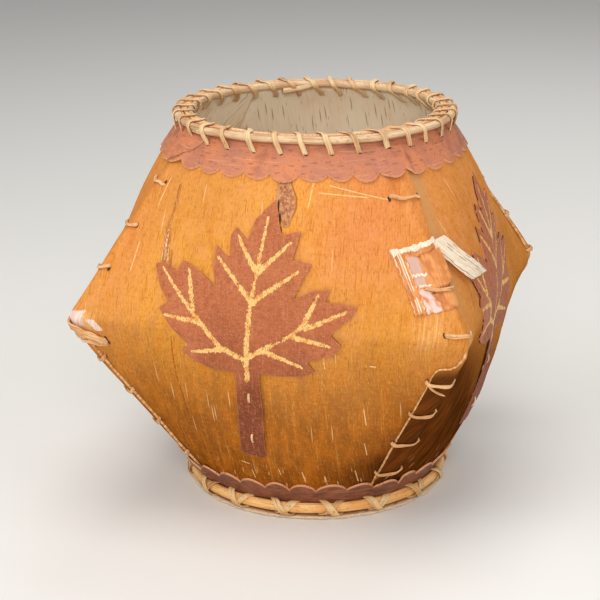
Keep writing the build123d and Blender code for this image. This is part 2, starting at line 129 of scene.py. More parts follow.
per_side = 240
heights = np.arange(0.0, wall_top + 1)
t = (np.arange(per_side) / per_side)[None, :, None]
rows = []
for side in range(4):
    p = side_curves(seam_radius(side, heights), seam_radius(side + 1, heights), side_distance(heights))
    a, b, c, d = (p[:, None, k] for k in range(4))
    curve = a * (1 - t) ** 3 + b * 3 * t * (1 - t) ** 2 + c * 3 * t * t * (1 - t) + d * t**3
    turn = pi / 2 * (side - 1)
    rows.append((curve[..., 0] + 1j * curve[..., 1]) * np.exp(1j * turn))
plan = np.concatenate(rows, 1)

corner_softness, tip_softness = 1.3, 1.8
waves = np.fft.fftfreq(4 * per_side)
plan = np.fft.ifft(np.fft.fft(plan, axis=1) * np.exp(-2 * (pi * waves * corner_softness) ** 2), axis=1)
blur = np.exp(-(((heights[:, None] - heights[None]) / tip_softness) ** 2) / 2)
plan = blur / blur.sum(1, keepdims=True) @ plan


def outward_normals(points):
    """Cross product of the surface's two slopes, from neighbours on the grid."""
    around = np.roll(points, -1, 1) - np.roll(points, 1, 1)
    up = np.gradient(points, axis=0)
    normal = np.cross(around, up)
    return normal / np.linalg.norm(normal, axis=-1, keepdims=True)


wave_parts = [(0.45, 7, 31, 0), (0.3, 13, -17, 1), (0.12, 31, 9, 2)]
calm_foot, calm_mouth, calm_length = 14, 236, 30
surface = np.stack([plan.real, plan.imag, np.repeat(heights[:, None], 4 * per_side, 1)], -1)
above_foot, below_mouth = (heights - calm_foot) / calm_length, (calm_mouth - heights) / calm_length
swell = np.clip(above_foot, 0, 1) * np.clip(below_mouth, 0, 1)
round_angle = pi / 2 * (np.arange(4 * per_side) / per_side)[None]
wave = sum(
    deep * np.sin(bows * round_angle + heights[:, None] / rise + shift)
    for deep, bows, rise, shift in wave_parts
)
surface += outward_normals(surface) * (wave * swell[:, None])[..., None]
normals = outward_normals(surface)
steps = np.linalg.norm(np.roll(surface, -1, 1) - surface, axis=-1)
side_lengths = steps.reshape(len(heights), 4, per_side).sum(-1)
print("wall surface", surface.shape, "widest side", side_lengths.max().round(1), "mm")

# %% [markdown]
# Everything that lies on a wall asks the same question: where in space is the place that is so far
# round and so high? The grid of points answers it, by the mean of the nearest four. Places beside
# a corner or on a side are given in millimetres, as a ruler on the bark would give them.

# %% Places on the wall surface
last_row = len(heights) - 1.001


def sample(grid, around, z):
    """Value of a grid between its points: the mean of the four nearest, by nearness."""
    x = np.mod(around, 4) * per_side
    y = np.clip(z, 0, last_row)
    i, j = y.astype(int), x.astype(int)
    v, u = (y - i)[..., None], (x - j)[..., None]
    j0, j1 = j % (4 * per_side), (j + 1) % (4 * per_side)
    low = grid[i, j0] * (1 - u) + grid[i, j1] * u
    high = grid[i + 1, j0] * (1 - u) + grid[i + 1, j1] * u
    return low * (1 - v) + high * v


def face(around, z, offset=0.0):
    """Point on the wall at a place round and a height, moved out along the face's normal."""
    around, z, offset = np.broadcast_arrays(
        np.asarray(around, float), np.asarray(z, float), np.asarray(offset, float)
    )
    normal = sample(normals, around, z)
    point = sample(surface, around, z) + normal * offset[..., None]
    point[..., 2] += np.where(z > wall_top - 1, z - np.clip(z, 0, last_row), 0)
    return point


def side_length(side, z):
    """Length of a side's curve at a height."""
    return np.interp(z, heights, side_lengths[:, side % 4])


def beside(corner, z, run):
    """Place round for a run in millimetres from a corner, to the right where it's positive."""
    right, left = side_length(corner, z), side_length(corner - 1, z)
    return corner + run / np.where(run > 0, right, left)


def beside_points(corner, run, z, offset):
    """Points on the wall beside a corner, moved out along the face's normal."""
    return face(beside(corner, z, run), z, offset)


def rightward(side):
    """Direction to the right for someone who looks at a side."""
    angle = pi / 2 * side
    return np.array([cos(angle), sin(angle), 0.0])


def across_side(side, x, z):
    """Place round of the point that is x to the right of a side's middle, seen from outside."""
    right = rightward(side)
    length = side_length(side, z)
    around = side + 0.5 + x / length
    for _ in range(5):
        around = around + (x - face(around, z) @ right) / length
    return around


def ramp(x):
    """A smooth step from 0 to 1 as x goes from 0 to 1."""
    x = np.clip(x, 0, 1)
    return x * x * (3 - 2 * x)


def ripple(x, spacing, seed):
    """Smooth noise from -1 to 1: random values a spacing apart, joined by smooth steps."""
    values = np.random.default_rng(seed).uniform(-1, 1, 4096)
    x = np.asarray(x, float) / spacing + 1000
    i = np.floor(x).astype(int)
    share = ramp(x - i)
    return values[i % 4096] * (1 - share) + values[(i + 1) % 4096] * share


def unit(v):
    """Vectors at length 1."""
    return v / np.linalg.norm(v, axis=-1, keepdims=True)


def square_to(v, axis):
    """Vectors less their part along an axis, at length 1."""
    return unit(v - axis * (v * axis).sum(-1, keepdims=True))


def run_along(line):
    """Length along a line from its first point to each of its points."""
    return np.concatenate([[0], np.cumsum(np.linalg.norm(np.diff(line, axis=0), axis=-1))])


print("middle of the front wall", face(0.5, tips[0]).round(1), "mm")

# %% [markdown]
# ## Meshes from arrays
# A sheet of bark is a grid of points for its outer face and another for its inner one, closed round
# the border. A rod or root is a ring of points carried along a line. Numbers that the finishes
# need, such as where a cut edge is, go with the mesh as attributes on the corners of its faces.

# %% Mesh helpers
strand_shift, strip_sides = 37.0, 12


def added(name, data):
    """A new object of the scene."""
    thing = bpy.data.objects.new(name, data)
    bpy.context.scene.collection.objects.link(thing)
    return thing


def enclosed(mesh):
    """Volume in cubic centimetres inside a closed mesh, below 0 where its faces point inwards."""
    mesh.calc_loop_triangles()
    corners_of = np.zeros(len(mesh.loop_triangles) * 3, np.int32)
    mesh.loop_triangles.foreach_get("vertices", corners_of)
    co = np.zeros(len(mesh.vertices) * 3, np.float32)
    mesh.vertices.foreach_get("co", co)
    a, b, c = co.reshape(-1, 3)[corners_of.reshape(-1, 3)].transpose(1, 0, 2).astype(float)
    return float((a * np.cross(b, c)).sum() / 6 * 1e6)


def mesh_object(name, points, faces, nodes=(), corner_uv=None, fields=None, sharp=40):
    """A mesh from arrays in millimetres. Fields hold one number for each corner of each face."""
    mesh = bpy.data.meshes.new(name)
    sizes, flat = np.array([len(corner_list) for corner_list in faces]), np.concatenate(faces)
    mesh.vertices.add(len(points))
    mesh.vertices.foreach_set("co", (np.asarray(points, np.float64) * MM).astype(np.float32).ravel())
    mesh.loops.add(len(flat))
    mesh.loops.foreach_set("vertex_index", flat.astype(np.int32))
    mesh.polygons.add(len(sizes))
    mesh.polygons.foreach_set("loop_start", (np.cumsum(sizes) - sizes).astype(np.int32))
    mesh.update(calc_edges=True)
    mesh.validate()
    mesh.polygons.foreach_set("use_smooth", np.ones(len(sizes), bool))
    if corner_uv is not None:
        layer = mesh.uv_layers.new(name="grain")
        layer.data.foreach_set("uv", np.asarray(corner_uv, np.float32).ravel())
    for field, values in (fields or {}).items():
        attribute = mesh.attributes.new(field, "FLOAT", "CORNER")
        attribute.data.foreach_set("value", np.asarray(values, np.float32).ravel())
    mesh.set_sharp_from_angle(angle=radians(sharp))
    piece = added(name, mesh)
    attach(piece, "root")
    if nodes:
        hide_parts(*nodes)
    print(name, len(points), "points", len(sizes), "faces", round(enclosed(mesh), 1), "cm3")
    return piece


def quads(rows, columns, start=0, flip=False):
    """Corner numbers of a grid's quads, anticlockwise where rows go up and columns to the right."""
    i, j = np.meshgrid(np.arange(rows - 1), np.arange(columns - 1), indexing="ij")
    a = (i * columns + j).ravel() + start
    face_corners = np.stack([a, a + 1, a + columns + 1, a + columns], 1)
    return face_corners[:, ::-1] if flip else face_corners


def sheet(name, outer, inner, uv, nodes=(), fields=None, sharp=40):
    """A closed sheet between two grids, rows upward and columns to the right seen from outside.

    The field cut is 1 on the border's faces, inside is 1 on the inner face's.
    """
    r, c = outer.shape[:2]
    n = r * c
    points = np.concatenate([outer.reshape(-1, 3), inner.reshape(-1, 3)])
    front, back = quads(r, c), quads(r, c, n, True)
    index = np.arange(n).reshape(r, c)
    ring = np.concatenate([index[0, :], index[1:, -1], index[-1, -2::-1], index[-2:0:-1, 0]])
    after = np.roll(ring, -1)
    border = np.stack([after, ring, ring + n, after + n], 1)
    faces = np.concatenate([front, back, border])
    flat = faces.ravel()
    base = flat % n
    kinds = np.repeat([0, 1, 2], [len(front) * 4, len(back) * 4, len(border) * 4])
    all_fields = {"cut": kinds == 2, "inside": kinds == 1}
    for field, values in (fields or {}).items():
        all_fields[field] = np.broadcast_to(values, (r, c)).ravel()[base]
    corner_uv = uv.reshape(-1, 2)[base] * MM
    return mesh_object(name, points, faces, nodes, corner_uv, all_fields, sharp)


def rod(name, rings, nodes=(), sharp=60):
    """Rings of points, ring by ring along a line, closed round each ring and at both ends."""
    parts, faces, uvs, start = [], [], [], 0
    for number, ring in enumerate(rings if isinstance(rings, list) else [rings]):
        n, m = ring.shape[:2]
        along = run_along(ring.mean(1))
        girth = np.linalg.norm(np.roll(ring, -1, 1) - ring, axis=-1).sum(1).mean()
        i, j = (k.ravel() for k in np.meshgrid(np.arange(n - 1), np.arange(m), indexing="ij"))
        corners_i, corners_j = np.stack([i, i, i + 1, i + 1], 1), np.stack([j, j + 1, j + 1, j], 1)
        faces += list(corners_i * m + corners_j % m + start)
        at = along[corners_i] + strand_shift * number
        uvs.append(np.stack([corners_j / m * girth, at], -1).reshape(-1, 2))
        for end, order in ((0, -1), (n - 1, 1)):
            edge, hub = end * m + np.arange(m) + start, start + n * m + (end > 0)
            faces += list(np.stack([edge, np.roll(edge, -1), np.full(m, hub)], 1)[:, ::order])
            uvs.append(np.zeros((m * 3, 2)))
        parts += [ring.reshape(-1, 3), ring[:1].mean(1), ring[-1:].mean(1)]
        start += n * m + 2
    points, corner_uv = np.concatenate(parts), np.concatenate(uvs) * MM
    return mesh_object(name, points, faces, nodes, corner_uv, sharp=sharp)


def ring_points(line, normal, across, height, width, power):
    """Superellipse rings round a line: half height along the normal and half width across it."""
    angle = 2 * pi * np.arange(strip_sides) / strip_sides
    c, s = np.cos(angle), np.sin(angle)
    c = np.sign(c) * np.abs(c) ** (2 / power)
    s = np.sign(s) * np.abs(s) ** (2 / power)
    height, width = np.broadcast_to(height, len(line)), np.broadcast_to(width, len(line))
    return (
        line[:, None]
        + normal[:, None] * (height[:, None] * s[None])[..., None]
        + across[:, None] * (width[:, None] * c[None])[..., None]
    )


def turned(out, across, tilt):
    """Two square directions, turned round a line by a tilt."""
    c, s = np.cos(tilt), np.sin(tilt)
    return out * c + across * s, across * c - out * s


print("a flat strip's ring has", strip_sides, "points")

# %% [markdown]
# ## The camera
# It stands where the photographer stood: a little to the right of the front wall's middle and
# above it, far enough away that the basket hardly narrows with distance. The camera comes early so
# that every later piece can be looked at.

# %% Camera
azimuth, elevation, roll = radians(15.5), radians(18.3), radians(-0.5)
distance, look_height, shift_right = 1200.0, 121.0, 10.6
focal_pixels, picture_pixels = 1792.0, 600.0
back = Vector((sin(azimuth) * cos(elevation), -cos(azimuth) * cos(elevation), sin(elevation)))
right = Vector((cos(azimuth), sin(azimuth), 0))
target = Vector((0, 0, look_height)) - right * shift_right
camera_data = bpy.data.cameras.new("camera")
camera_data.sensor_width = 36.0
camera_data.lens = focal_pixels / picture_pixels * camera_data.sensor_width
camera = added("camera", camera_data)
look = (-back).to_track_quat("-Z", "Y").to_matrix() @ Matrix.Rotation(roll, 3, "Z")
camera.matrix_world = Matrix.Translation((target + back * distance) * MM) @ look.to_4x4()
camera_data.clip_start, camera_data.clip_end = 0.05, 20.0
bpy.context.scene.camera = camera
print("camera at", tuple(round(x, 3) for x in camera.location))

# %% [markdown]
# ## Finishes as expressions
# A material is a small calculation. The class below wraps an output socket, so that sums and
# products of sockets add their Math nodes by themselves. All other nodes come from one method that
# takes the node's type, its settings and its inputs.

# %% Shader helpers
def colour(r, g, b):
    """An 8-bit screen colour as the linear values that Blender's sockets take."""
    c = np.array([r, g, b]) / 255
    linear = np.where(c <= 0.04045, c / 12.92, ((c + 0.055) / 1.055) ** 2.4)
    return (*[float(x) for x in linear], 1.0)


class Out:
    """An output socket of a finish. Arithmetic on it adds Math nodes."""

    def __init__(self, finish, socket):
        self.finish, self.socket = finish, socket

    def maths(self, operation, *values):
        """One Math node on the given values."""
        return self.finish.node("ShaderNodeMath", {"operation": operation}, dict(enumerate(values)))

    def __add__(self, other):
        return self.maths("ADD", self, other)

    def __sub__(self, other):
        return self.maths("SUBTRACT", self, other)

    def __mul__(self, other):
        return self.maths("MULTIPLY", self, other)


class Finish:
    """A material under construction."""

    def __init__(self, name):
        self.material = bpy.data.materials.new(name)
        self.material.use_nodes = True
        self.tree = self.material.node_tree
        self.tree.nodes.clear()

    def node(self, kind, settings=None, inputs=None, output=0):
        """Adds a node, sets its settings, then fills its inputs with values or other outputs."""
        added_node = self.tree.nodes.new(kind)
        for key, value in (settings or {}).items():
            setattr(added_node, key, value)
        for key, value in (inputs or {}).items():
            if isinstance(value, Out):
                self.tree.links.new(value.socket, added_node.inputs[key])
            else:
                added_node.inputs[key].default_value = value
        return Out(self, added_node.outputs[output])

    def mix(self, a, b, factor):
        """From a to b as the factor goes from 0 to 1. Each is an output or an 8-bit colour."""
        a, b = (tint if isinstance(tint, Out) else colour(*tint) for tint in (a, b))
        return self.node("ShaderNodeMix", {"data_type": "RGBA"}, {0: factor, 6: a, 7: b}, 2)

    def paint(self, tint, coats):
        """Lays coats over a colour, each given as its own colour and how much of it shows."""
        for coat, share in coats:
            tint = self.mix(tint, coat, share)
        return tint

    def vector(self, operation, *values, output=0):
        """One Vector Math node on the given values."""
        return self.node("ShaderNodeVectorMath", {"operation": operation}, dict(enumerate(values)), output)

    def in_millimetres(self, place):
        """Coordinates in metres, turned to millimetres."""
        return self.node("ShaderNodeVectorMath", {"operation": "SCALE"}, {0: place, 3: 1 / MM})

    def step(self, x, low, high, start=0.0, end=1.0):
        """A smooth step from start to end as x goes from low to high."""
        settings = {"interpolation_type": "SMOOTHSTEP"}
        values = {"Value": x, "From Min": low, "From Max": high, "To Min": start, "To Max": end}
        return self.node("ShaderNodeMapRange", settings, values)

    def grain(self):
        """The piece's own flat coordinates, in millimetres across and along the grain."""
        return self.in_millimetres(self.node("ShaderNodeUVMap", {"uv_map": "grain"}))

    def spread(self, place, wide, tall, seed=0.0):
        """Coordinates in which one unit is wide across the grain and tall along it."""
        away = (seed, seed * 1.7, seed * 0.3)
        return self.vector("MULTIPLY_ADD", place, (1 / wide, 1 / tall, 1), away)

    def noise(self, place, wide, tall, detail=2.0, seed=0.0):
        """Cloudy noise whose blots are so wide across the grain and so tall along it."""
        values = {"Vector": self.spread(place, wide, tall, seed), "Scale": 1.0, "Detail": detail}
        return self.node("ShaderNodeTexNoise", {}, values)

    def flecks(self, place, wide, tall, share, seed=0.0, thin=0.12, full=0.3):
        """Long thin marks: the middles of stretched cells, in a share of the cells."""
        settings = {"voronoi_dimensions": "2D"}
        values = {"Vector": self.spread(place, wide, tall, seed), "Scale": 1.0}
        near = self.node("ShaderNodeTexVoronoi", settings, values, "Distance")
        cell = self.node("ShaderNodeTexVoronoi", settings, values, "Color")
        chance = self.node("ShaderNodeSeparateColor", {}, {0: cell})
        return self.step(near, full, thin) * self.step(chance, 1 - share, 1 - share + 0.01)

    def field(self, name):
        """A number that the mesh carries at the corners of its faces."""
        return self.node("ShaderNodeAttribute", {"attribute_name": name}, None, "Fac")

    def scratch(self, place, start, end, width):
        """1 on a thin straight line between two places (x, z) of a wall, and 0 away from it."""
        (x0, z0), (x1, z1) = start, end
        y0, y1 = float(profile_length(z0)), float(profile_length(z1))
        length = float(np.hypot(x1 - x0, y1 - y0))
        way = ((x1 - x0) / length, (y1 - y0) / length, 0)
        away = self.vector("SUBTRACT", place, (x0, y0, 0))
        along = self.vector("DOT_PRODUCT", away, way, output="Value")
        aside = self.vector("DOT_PRODUCT", away, (-way[1], way[0], 0), output="Value")
        near = self.step(aside.maths("ABSOLUTE", aside), width, width * 0.35)
        return near * self.step(along, 0.0, 1.5) * self.step(along, length, length - 1.5)

    def scratches(self, place, lines):
        """1 on any of several scratches."""
        marks = self.scratch(place, *lines[0])
        for line in lines[1:]:
            marks = marks.maths("MAXIMUM", marks, self.scratch(place, *line))
        return marks

    def surface(self, tint, roughness, relief=None, specular=0.5):
        """Ends the finish in one shader. The relief is a height, its strength and its depth."""
        values = {"Base Color": tint, "Roughness": roughness, "Specular IOR Level": specular}
        if relief is not None:
            bump = dict(zip(("Height", "Strength", "Distance"), relief))
            values["Normal"] = self.node("ShaderNodeBump", {}, bump)
        shader = self.node("ShaderNodeBsdfPrincipled", {}, values)
        end = self.tree.nodes.new("ShaderNodeOutputMaterial")
        self.tree.links.new(shader.socket, end.inputs["Surface"])
        print(self.material.name, len(self.tree.nodes), "nodes")
        return self.material


def dress(material, *pieces):
    """Gives pieces a finish."""
    for piece in pieces:
        piece.data.materials.clear()
        piece.data.materials.append(material)

# %% [markdown]
# ## The walls
# Each wall is one sheet of bark. The front and back sheets turn round their upper corners and lie
# on the neighbours, and the left and right sheets do so below. So each sheet's border is a function
# of height: how far it runs past the corner, and how far it is lifted to clear what it lies on.
# A cut edge is bevelled a little, so that its pale layers catch the light.

# %% Laps
def lap_run(corner, z, upper):
    """How far the lapping sheet runs past a corner."""
    tip = tips[corner % 4]
    ragged = 0.25 * ripple(z, 3.1, 40 + corner) + 0.15 * ripple(z, 1.1, 50 + corner)
    if upper:
        run = upper_lap * ramp((z - tip - 1) / 7) * ramp((238 - z) / 4)
    else:
        wide = lower_laps[corner % 4]
        lip = ([0, 14, 18.5, 22, 23.6, 24.6, 28, 40], [0, 0.03, 0.07, 0.18, 0.36, 0.9, 1, 1])
        run = wide * np.interp(tip + 8 - z + 1.2 * ripple(z, 1.3, 60 + corner), *lip) * ramp((z - 13) / 4)
    return np.maximum(run + ragged * (run > 1), 0.02)


def lap_height(corner, z, upper):
    """How far the lapping sheet is lifted at the corner."""
    tip = tips[corner % 4]
    if upper:
        return lap_lift * ramp((z - tip + 1) / 5) * ramp((245 - z) / 6)
    return lap_lift * ramp((tip - 2 - z) / 5) * ramp((z - 8) / 5)


def profile_length(z):
    """Length along the middle of a side from the floor up to a height."""
    slope = np.gradient(side_distance(heights), heights)
    return np.interp(z, heights, np.cumsum(np.sqrt(1 + slope**2)))


print("laps lie", lap_lift, "mm off the wall")

# %% [markdown]
# A sheet's columns crowd at its borders, where it bends over the neighbour, and its rows crowd near
# the tips. Its outer face stops a bevel short of the inner one, which shows the pale cut.

# %% Wall sheets
near_edge = np.array([1, 0.93, 0.82, 0.68, 0.54, 0.4, 0.27, 0.15, 0.06])
near_corner = np.array([0, 0.5, 1.0, 1.6, 2.3, 3.1, 4.0, 5.0, 6.2, 7.6])
flat_part = np.linspace(0, 1, 116)[1:-1]
bevel = 0.4


def wall_rows(side):
    """Heights of a wall's rows, closer together near the tips of its corners."""
    marks = [floor_thickness, 24, tips[side] - 24, tips[side] + 12, 226, wall_top]
    counts = [12, 40, 44, 40, 16]
    pieces = [np.linspace(a, b, n, endpoint=False) for a, b, n in zip(marks, marks[1:], counts)]
    return np.concatenate([*pieces, [wall_top]])


def wall_sheet(side):
    """A grid of runs across a side and past its corners, lifted where it laps over a neighbour.

    The outer face is the wall's face plus the lift; the inner one is the thickness below it, and
    the thickness falls to that of a lap in proportion to the lift.
    """
    upper = side % 2 == 0
    z = wall_rows(side)[:, None]
    length = side_length(side, z)
    left_run, right_run = lap_run(side, z, upper), lap_run(side + 1, z, upper)
    left_lift, right_lift = lap_height(side, z, upper), lap_height(side + 1, z, upper)

    def grid(shrink):
        """Runs of every row's points, from past the left corner to past the right one."""
        left = -np.maximum(left_run - shrink, 0.01) * near_edge
        middle = near_corner[-1] + (length - 2 * near_corner[-1]) * flat_part
        rightmost = length + np.maximum(right_run - shrink, 0.01) * near_edge[::-1]
        inner_left = np.broadcast_to(near_corner, (len(z), len(near_corner)))
        return np.concatenate([left, inner_left, middle, length - near_corner[::-1], rightmost], 1)

    def place(run, offset):
        """Points on the walls' face at runs from the left corner, also past both corners."""
        before = side + run / side_length(side - 1, z)
        after = side + 1 + (run - length) / side_length(side + 1, z)
        around = np.where(run < 0, before, np.where(run > length, after, side + run / length))
        return face(around, z, offset)

    def lifted(run):
        """How far the sheet is lifted at a run, and how thick it is there."""
        at_left, at_right = ramp(1 - run / lap_rise), ramp(1 - (length - run) / lap_rise)
        lift = left_lift * at_left + right_lift * at_right
        return lift, wall_thickness - (wall_thickness - lap_thickness) * lift / lap_lift

    run_out, run_in = grid(bevel), grid(0)
    lift_out, _ = lifted(run_out)
    lift_in, thick = lifted(run_in)
    flutter = 0.35 * ramp(1 - np.minimum(run_out + left_run, length + right_run - run_out) / 9)
    flutter = flutter * ripple(z, 13, 70 + side) * (lift_out > 0.5)
    outer, inner = place(run_out, lift_out + flutter), place(run_in, lift_in - thick + flutter)
    middle_run = run_out - length / 2
    uv = np.stack([middle_run, np.broadcast_to(profile_length(z), run_out.shape)], -1)
    fields = wall_fields(side, middle_run, z, run_out)
    name = f"{sides[side]}_wall_sheet"
    return sheet(name, outer, inner, uv, [f"{sides[side]}_wall"], fields)

# %% [markdown]
# The colour of a sheet drifts slowly. It is golden where it bows towards the lamps, which is partly painted
# light. It is browner towards the foot and darker in low spots, partly from the bark's own tone and partly
# from painted shade. It is rubbed pale where hands hold it. Those slow changes are a few soft spots, each
# with a place, a size and a strength, added up for every point. The finish reads them as attributes.

# %% Slow colour changes
def spots(x, z, places):
    """Sum of soft round spots, each given as (x, z, half width, half height, strength)."""
    return sum(s * np.exp(-(((x - cx) / w) ** 2) - ((z - cz) / h) ** 2) for cx, cz, w, h, s in places)


spot_places = {
    # Darker bark with painted shade over it, mostly low down and strongest at the right wall's foot.
    "painted_shade_and_dark_tone": [
        [(74, 38, 30, 26, 0.8), (94, 76, 14, 26, 0.5), (-84, 42, 14, 30, 0.35)],
        [(-78, 58, 46, 40, 0.75), (-20, 34, 80, 26, 0.5), (-112, 92, 26, 30, 0.7),
         (-128, 104, 14, 22, 0.8), (-98, 116, 20, 16, 0.35), (-72, 84, 44, 50, 0.6), (-60, 30, 70, 30, 0.5),
         (0, 40, 60, 44, 0.3), (62, 44, 50, 46, 0.5), (100, 88, 26, 40, 0.35), (20, 100, 60, 24, 0.15)],
        [(-60, 45, 50, 28, 0.45), (60, 50, 50, 30, 0.55), (10, 225, 50, 25, 0.2)],
        [(50, 45, 50, 28, 0.4), (-50, 50, 55, 30, 0.5), (-70, 150, 30, 30, 0.2)],
    ],
    "red": [
        [(70, 215, 45, 45, 0.8), (40, 190, 30, 30, 0.3), (-95, 185, 20, 45, 0.45)],
        [(-60, 200, 60, 50, 0.5), (60, 180, 50, 60, 0.4)],
        [(-50, 200, 50, 50, 0.5)],
        [(70, 190, 40, 50, 0.5), (-30, 210, 50, 30, 0.4)],
    ],
    # Golden spots: the bark's warm tone, brightened as painted light where the sheet bows towards the lamps.
    "gold_and_painted_light": [
        [(-55, 150, 45, 45, 0.8), (20, 205, 32, 45, 0.8), (75, 145, 30, 22, 0.5), (10, 120, 60, 25, 0.3)],
        [(20, 150, 40, 40, 0.3)],
        [(20, 150, 60, 50, 0.6)],
        [(0, 150, 55, 50, 0.6), (40, 205, 30, 30, 0.4)],
    ],
    "worn": [
        [(102, 147, 20, 22, 0.5), (-118, 134, 9, 9, 1.0), (-112, 160, 10, 24, 0.35)],
        [(-112, 138, 12, 14, 0.7), (118, 124, 12, 10, 0.7)],
        [(-112, 124, 10, 9, 0.7), (112, 134, 10, 10, 0.7)],
        [(112, 137, 9, 9, 1.0), (-112, 134, 10, 9, 0.6)],
    ],
}


def wall_fields(side, x, z, from_left):
    """The slow changes of a wall's colour, one number for each of its points, painted light and shade among
    them.
    """
    # Browner towards the foot: the bark's deeper tone and painted shade together.
    low = 0.85 * ramp((178 - z) / 125) + 0.15 * ramp((60 - z) / 40)
    # Olive-grey strip beside the front sheet's upper lap on the right wall: the bark's tint with painted
    # shade of the lap.
    olive_and_painted_shade = ramp(1 - np.abs(from_left - 12) / 9) * (side == 1) * ramp((z - 145) / 20)
    x, z = np.broadcast_arrays(x, z)
    # Painted shade that deepens every wall near the foot.
    painted_foot_shade = {"painted_shade_and_dark_tone": 0.3 * ramp((56 - z) / 40)}
    fields = {
        name: np.clip(spots(x, z, places[side]) + painted_foot_shade.get(name, 0), 0, 1)
        for name, places in spot_places.items()
    }
    fields |= {"olive_and_painted_shade": olive_and_painted_shade, "low": low, "front": float(side == 0)}
    marks = {"scar": wall_scar(x, z), "knot": wall_knot(x, z), "bare": wall_bare(z, from_left)}
    return fields | {name: mark if side == 0 else 0.0 for name, mark in marks.items()}


def line_distance(x, z, line):
    """Distance from points to the nearest of a line's straight pieces."""
    best = np.full(np.broadcast(x, z).shape, 1e9)
    for (ax, az), (bx, bz) in zip(line, line[1:]):
        dx, dz = bx - ax, bz - az
        share = np.clip(((x - ax) * dx + (z - az) * dz) / (dx * dx + dz * dz), 0, 1)
        best = np.minimum(best, np.hypot(x - ax - share * dx, z - az - share * dz))
    return best


scar_line = [(-66, 218), (-66, 204), (-67, 196), (-66, 186), (-64, 176), (-62, 168)]


def wall_scar(x, z):
    """Closeness to the rough streak above the left lobe of the front leaf, 1 on it."""
    half = 3.2 + 3.2 * ramp((206 - z) / 30) + 1.2 * ripple(z, 6, 83)
    return np.clip(1 - line_distance(x, z, scar_line) / half, 0, 1) * (0.72 + 0.28 * ramp((208 - z) / 25))


knot_line = [(5, 236), (7.5, 226), (9.4, 217), (10.4, 208), (10.9, 204)]


def wall_knot(x, z):
    """Closeness to the blotch of rough inner bark above the front leaf's tip."""
    half = 2.2 + 1.3 * ramp((228 - z) / 10) - 2.4 * ramp((214 - z) / 12) + 0.5 * ripple(z, 5, 81)
    return np.clip(1.15 - line_distance(x, z, knot_line) / (2 * half), 0, 1)


def wall_bare(z, from_left):
    """1 where the outermost film has come off at the front left tip."""
    around_tip = 1 - np.maximum(abs(from_left - 2) / 10.5, abs(z - tips[0] + 0.5 - 0.1 * from_left) / 8.5)
    scrap = 1 - np.maximum(abs(from_left - 15.5 + 0.3 * (z - 135)) / 5, abs(z - 135.5) / 6.5)
    scrap = scrap * (from_left > 10)
    return np.clip(np.maximum(around_tip, scrap), 0, 1)


walls = [wall_sheet(side) for side in range(4)]

# %% [markdown]
# ## The scalloped bands
# A band is a strip of darker bark, cut into shallow lobes along one edge and bent round until its
# ends overlap. Its columns run round the basket, its rows go from the scalloped edge to the straight
# one. Where a seam's lap lies under it, the band rises over the lap. Each lobe lifts a little.

# %% Band strips
columns_per_lobe, band_thickness, band_radius = 16, 1.2, 92
seam_span = (215, 247)


def near_seams(around, z, corner_heights):
    """How far a band rises over the laps at the corners, from 0 to 1."""
    corner = np.round(around)
    run = (around - corner) * np.where(around > corner, side_length(0, z), side_length(1, z))
    low, high = corner_heights
    return ramp((11 - np.abs(run)) / 4) * ramp((z - low) / 4) * ramp((high - z) / 7)


def band_strip(lobes, cusp, depth, straight, ends, seams, seed, loose=(), end_slant=0.0):
    """Places of a band's points: each lobe's edge is a sine arc, and the last lobes lie over the first.

    lobes go to the round; ends gives where the strip starts and how many of its lobes lap over. The
    height of a point goes from the scalloped edge to the straight one as its row goes from 0 to 1.
    """
    start, overlap = ends
    count = int(round((lobes + overlap) * columns_per_lobe)) + 1
    number = np.arange(count) / columns_per_lobe
    lobe, share = np.floor(number + 1e-9), np.mod(number + 1e-9, 1)
    rng = np.random.default_rng(seed)
    size = 1 + 0.12 * rng.uniform(-1, 1, lobes + 8)[lobe.astype(int)]
    arc = depth * size * np.sin(pi * share) ** 0.72
    sign = np.sign(cusp - straight)
    edge = cusp + sign * arc + 0.25 * ripple(number, 0.6, seed + 1)
    warped = number + 0.1 * ripple(number, 1.7, seed + 2)
    row = np.array([0, 0.02, 0.06, 0.12, 0.2, 0.3, 0.42, 0.55, 0.68, 0.8, 0.9, 1])[:, None]
    bend = lobes + overlap - 2
    pulled = 1 - end_slant / 2 * (1 - row) ** 2
    warped = np.where(warped > bend, bend + (warped - bend) * pulled, warped)
    around = start + 4 * warped / lobes
    z = edge + (straight - edge) * row
    lift_of = (0.25 + 0.9 * rng.uniform(0, 1, lobes + 8) ** 3)[lobe.astype(int)]
    for which, more in loose:
        lift_of = lift_of + more * (lobe == which)
    lift = lift_of * np.sin(pi * share) ** 0.7 * (1 - row) ** 3
    over = 1.35 * ramp((number - lobes + 2.2) / 2.0)
    offset = 0.1 + over + lift + (lap_lift + 0.25) * near_seams(around, z, seams)
    offset = offset + 0.12 * ripple(number, 2.3, seed + 4)
    return row, around, z, offset, edge


def band_sheet(name, strip, straight, flip):
    """A band's sheet: the places of its strip on the walls' face, as thick as the bark."""
    row, around, z, offset, edge = strip
    inset = 0.3 * ramp(1 - row * 40) * np.sign(edge - straight)
    outer, inner = face(around, z - inset, offset + band_thickness), face(around, z, offset)
    girth = 2 * pi * band_radius * (around - around[0, 0]) / 4
    upward = slice(None, None, -1 if flip else 1)
    uv, away = np.stack([z, girth], -1)[upward], np.abs(z - edge)[upward]
    node = name.replace("_strip", "")
    return sheet(name, outer[upward], inner[upward], uv, [node], {"edge": away})


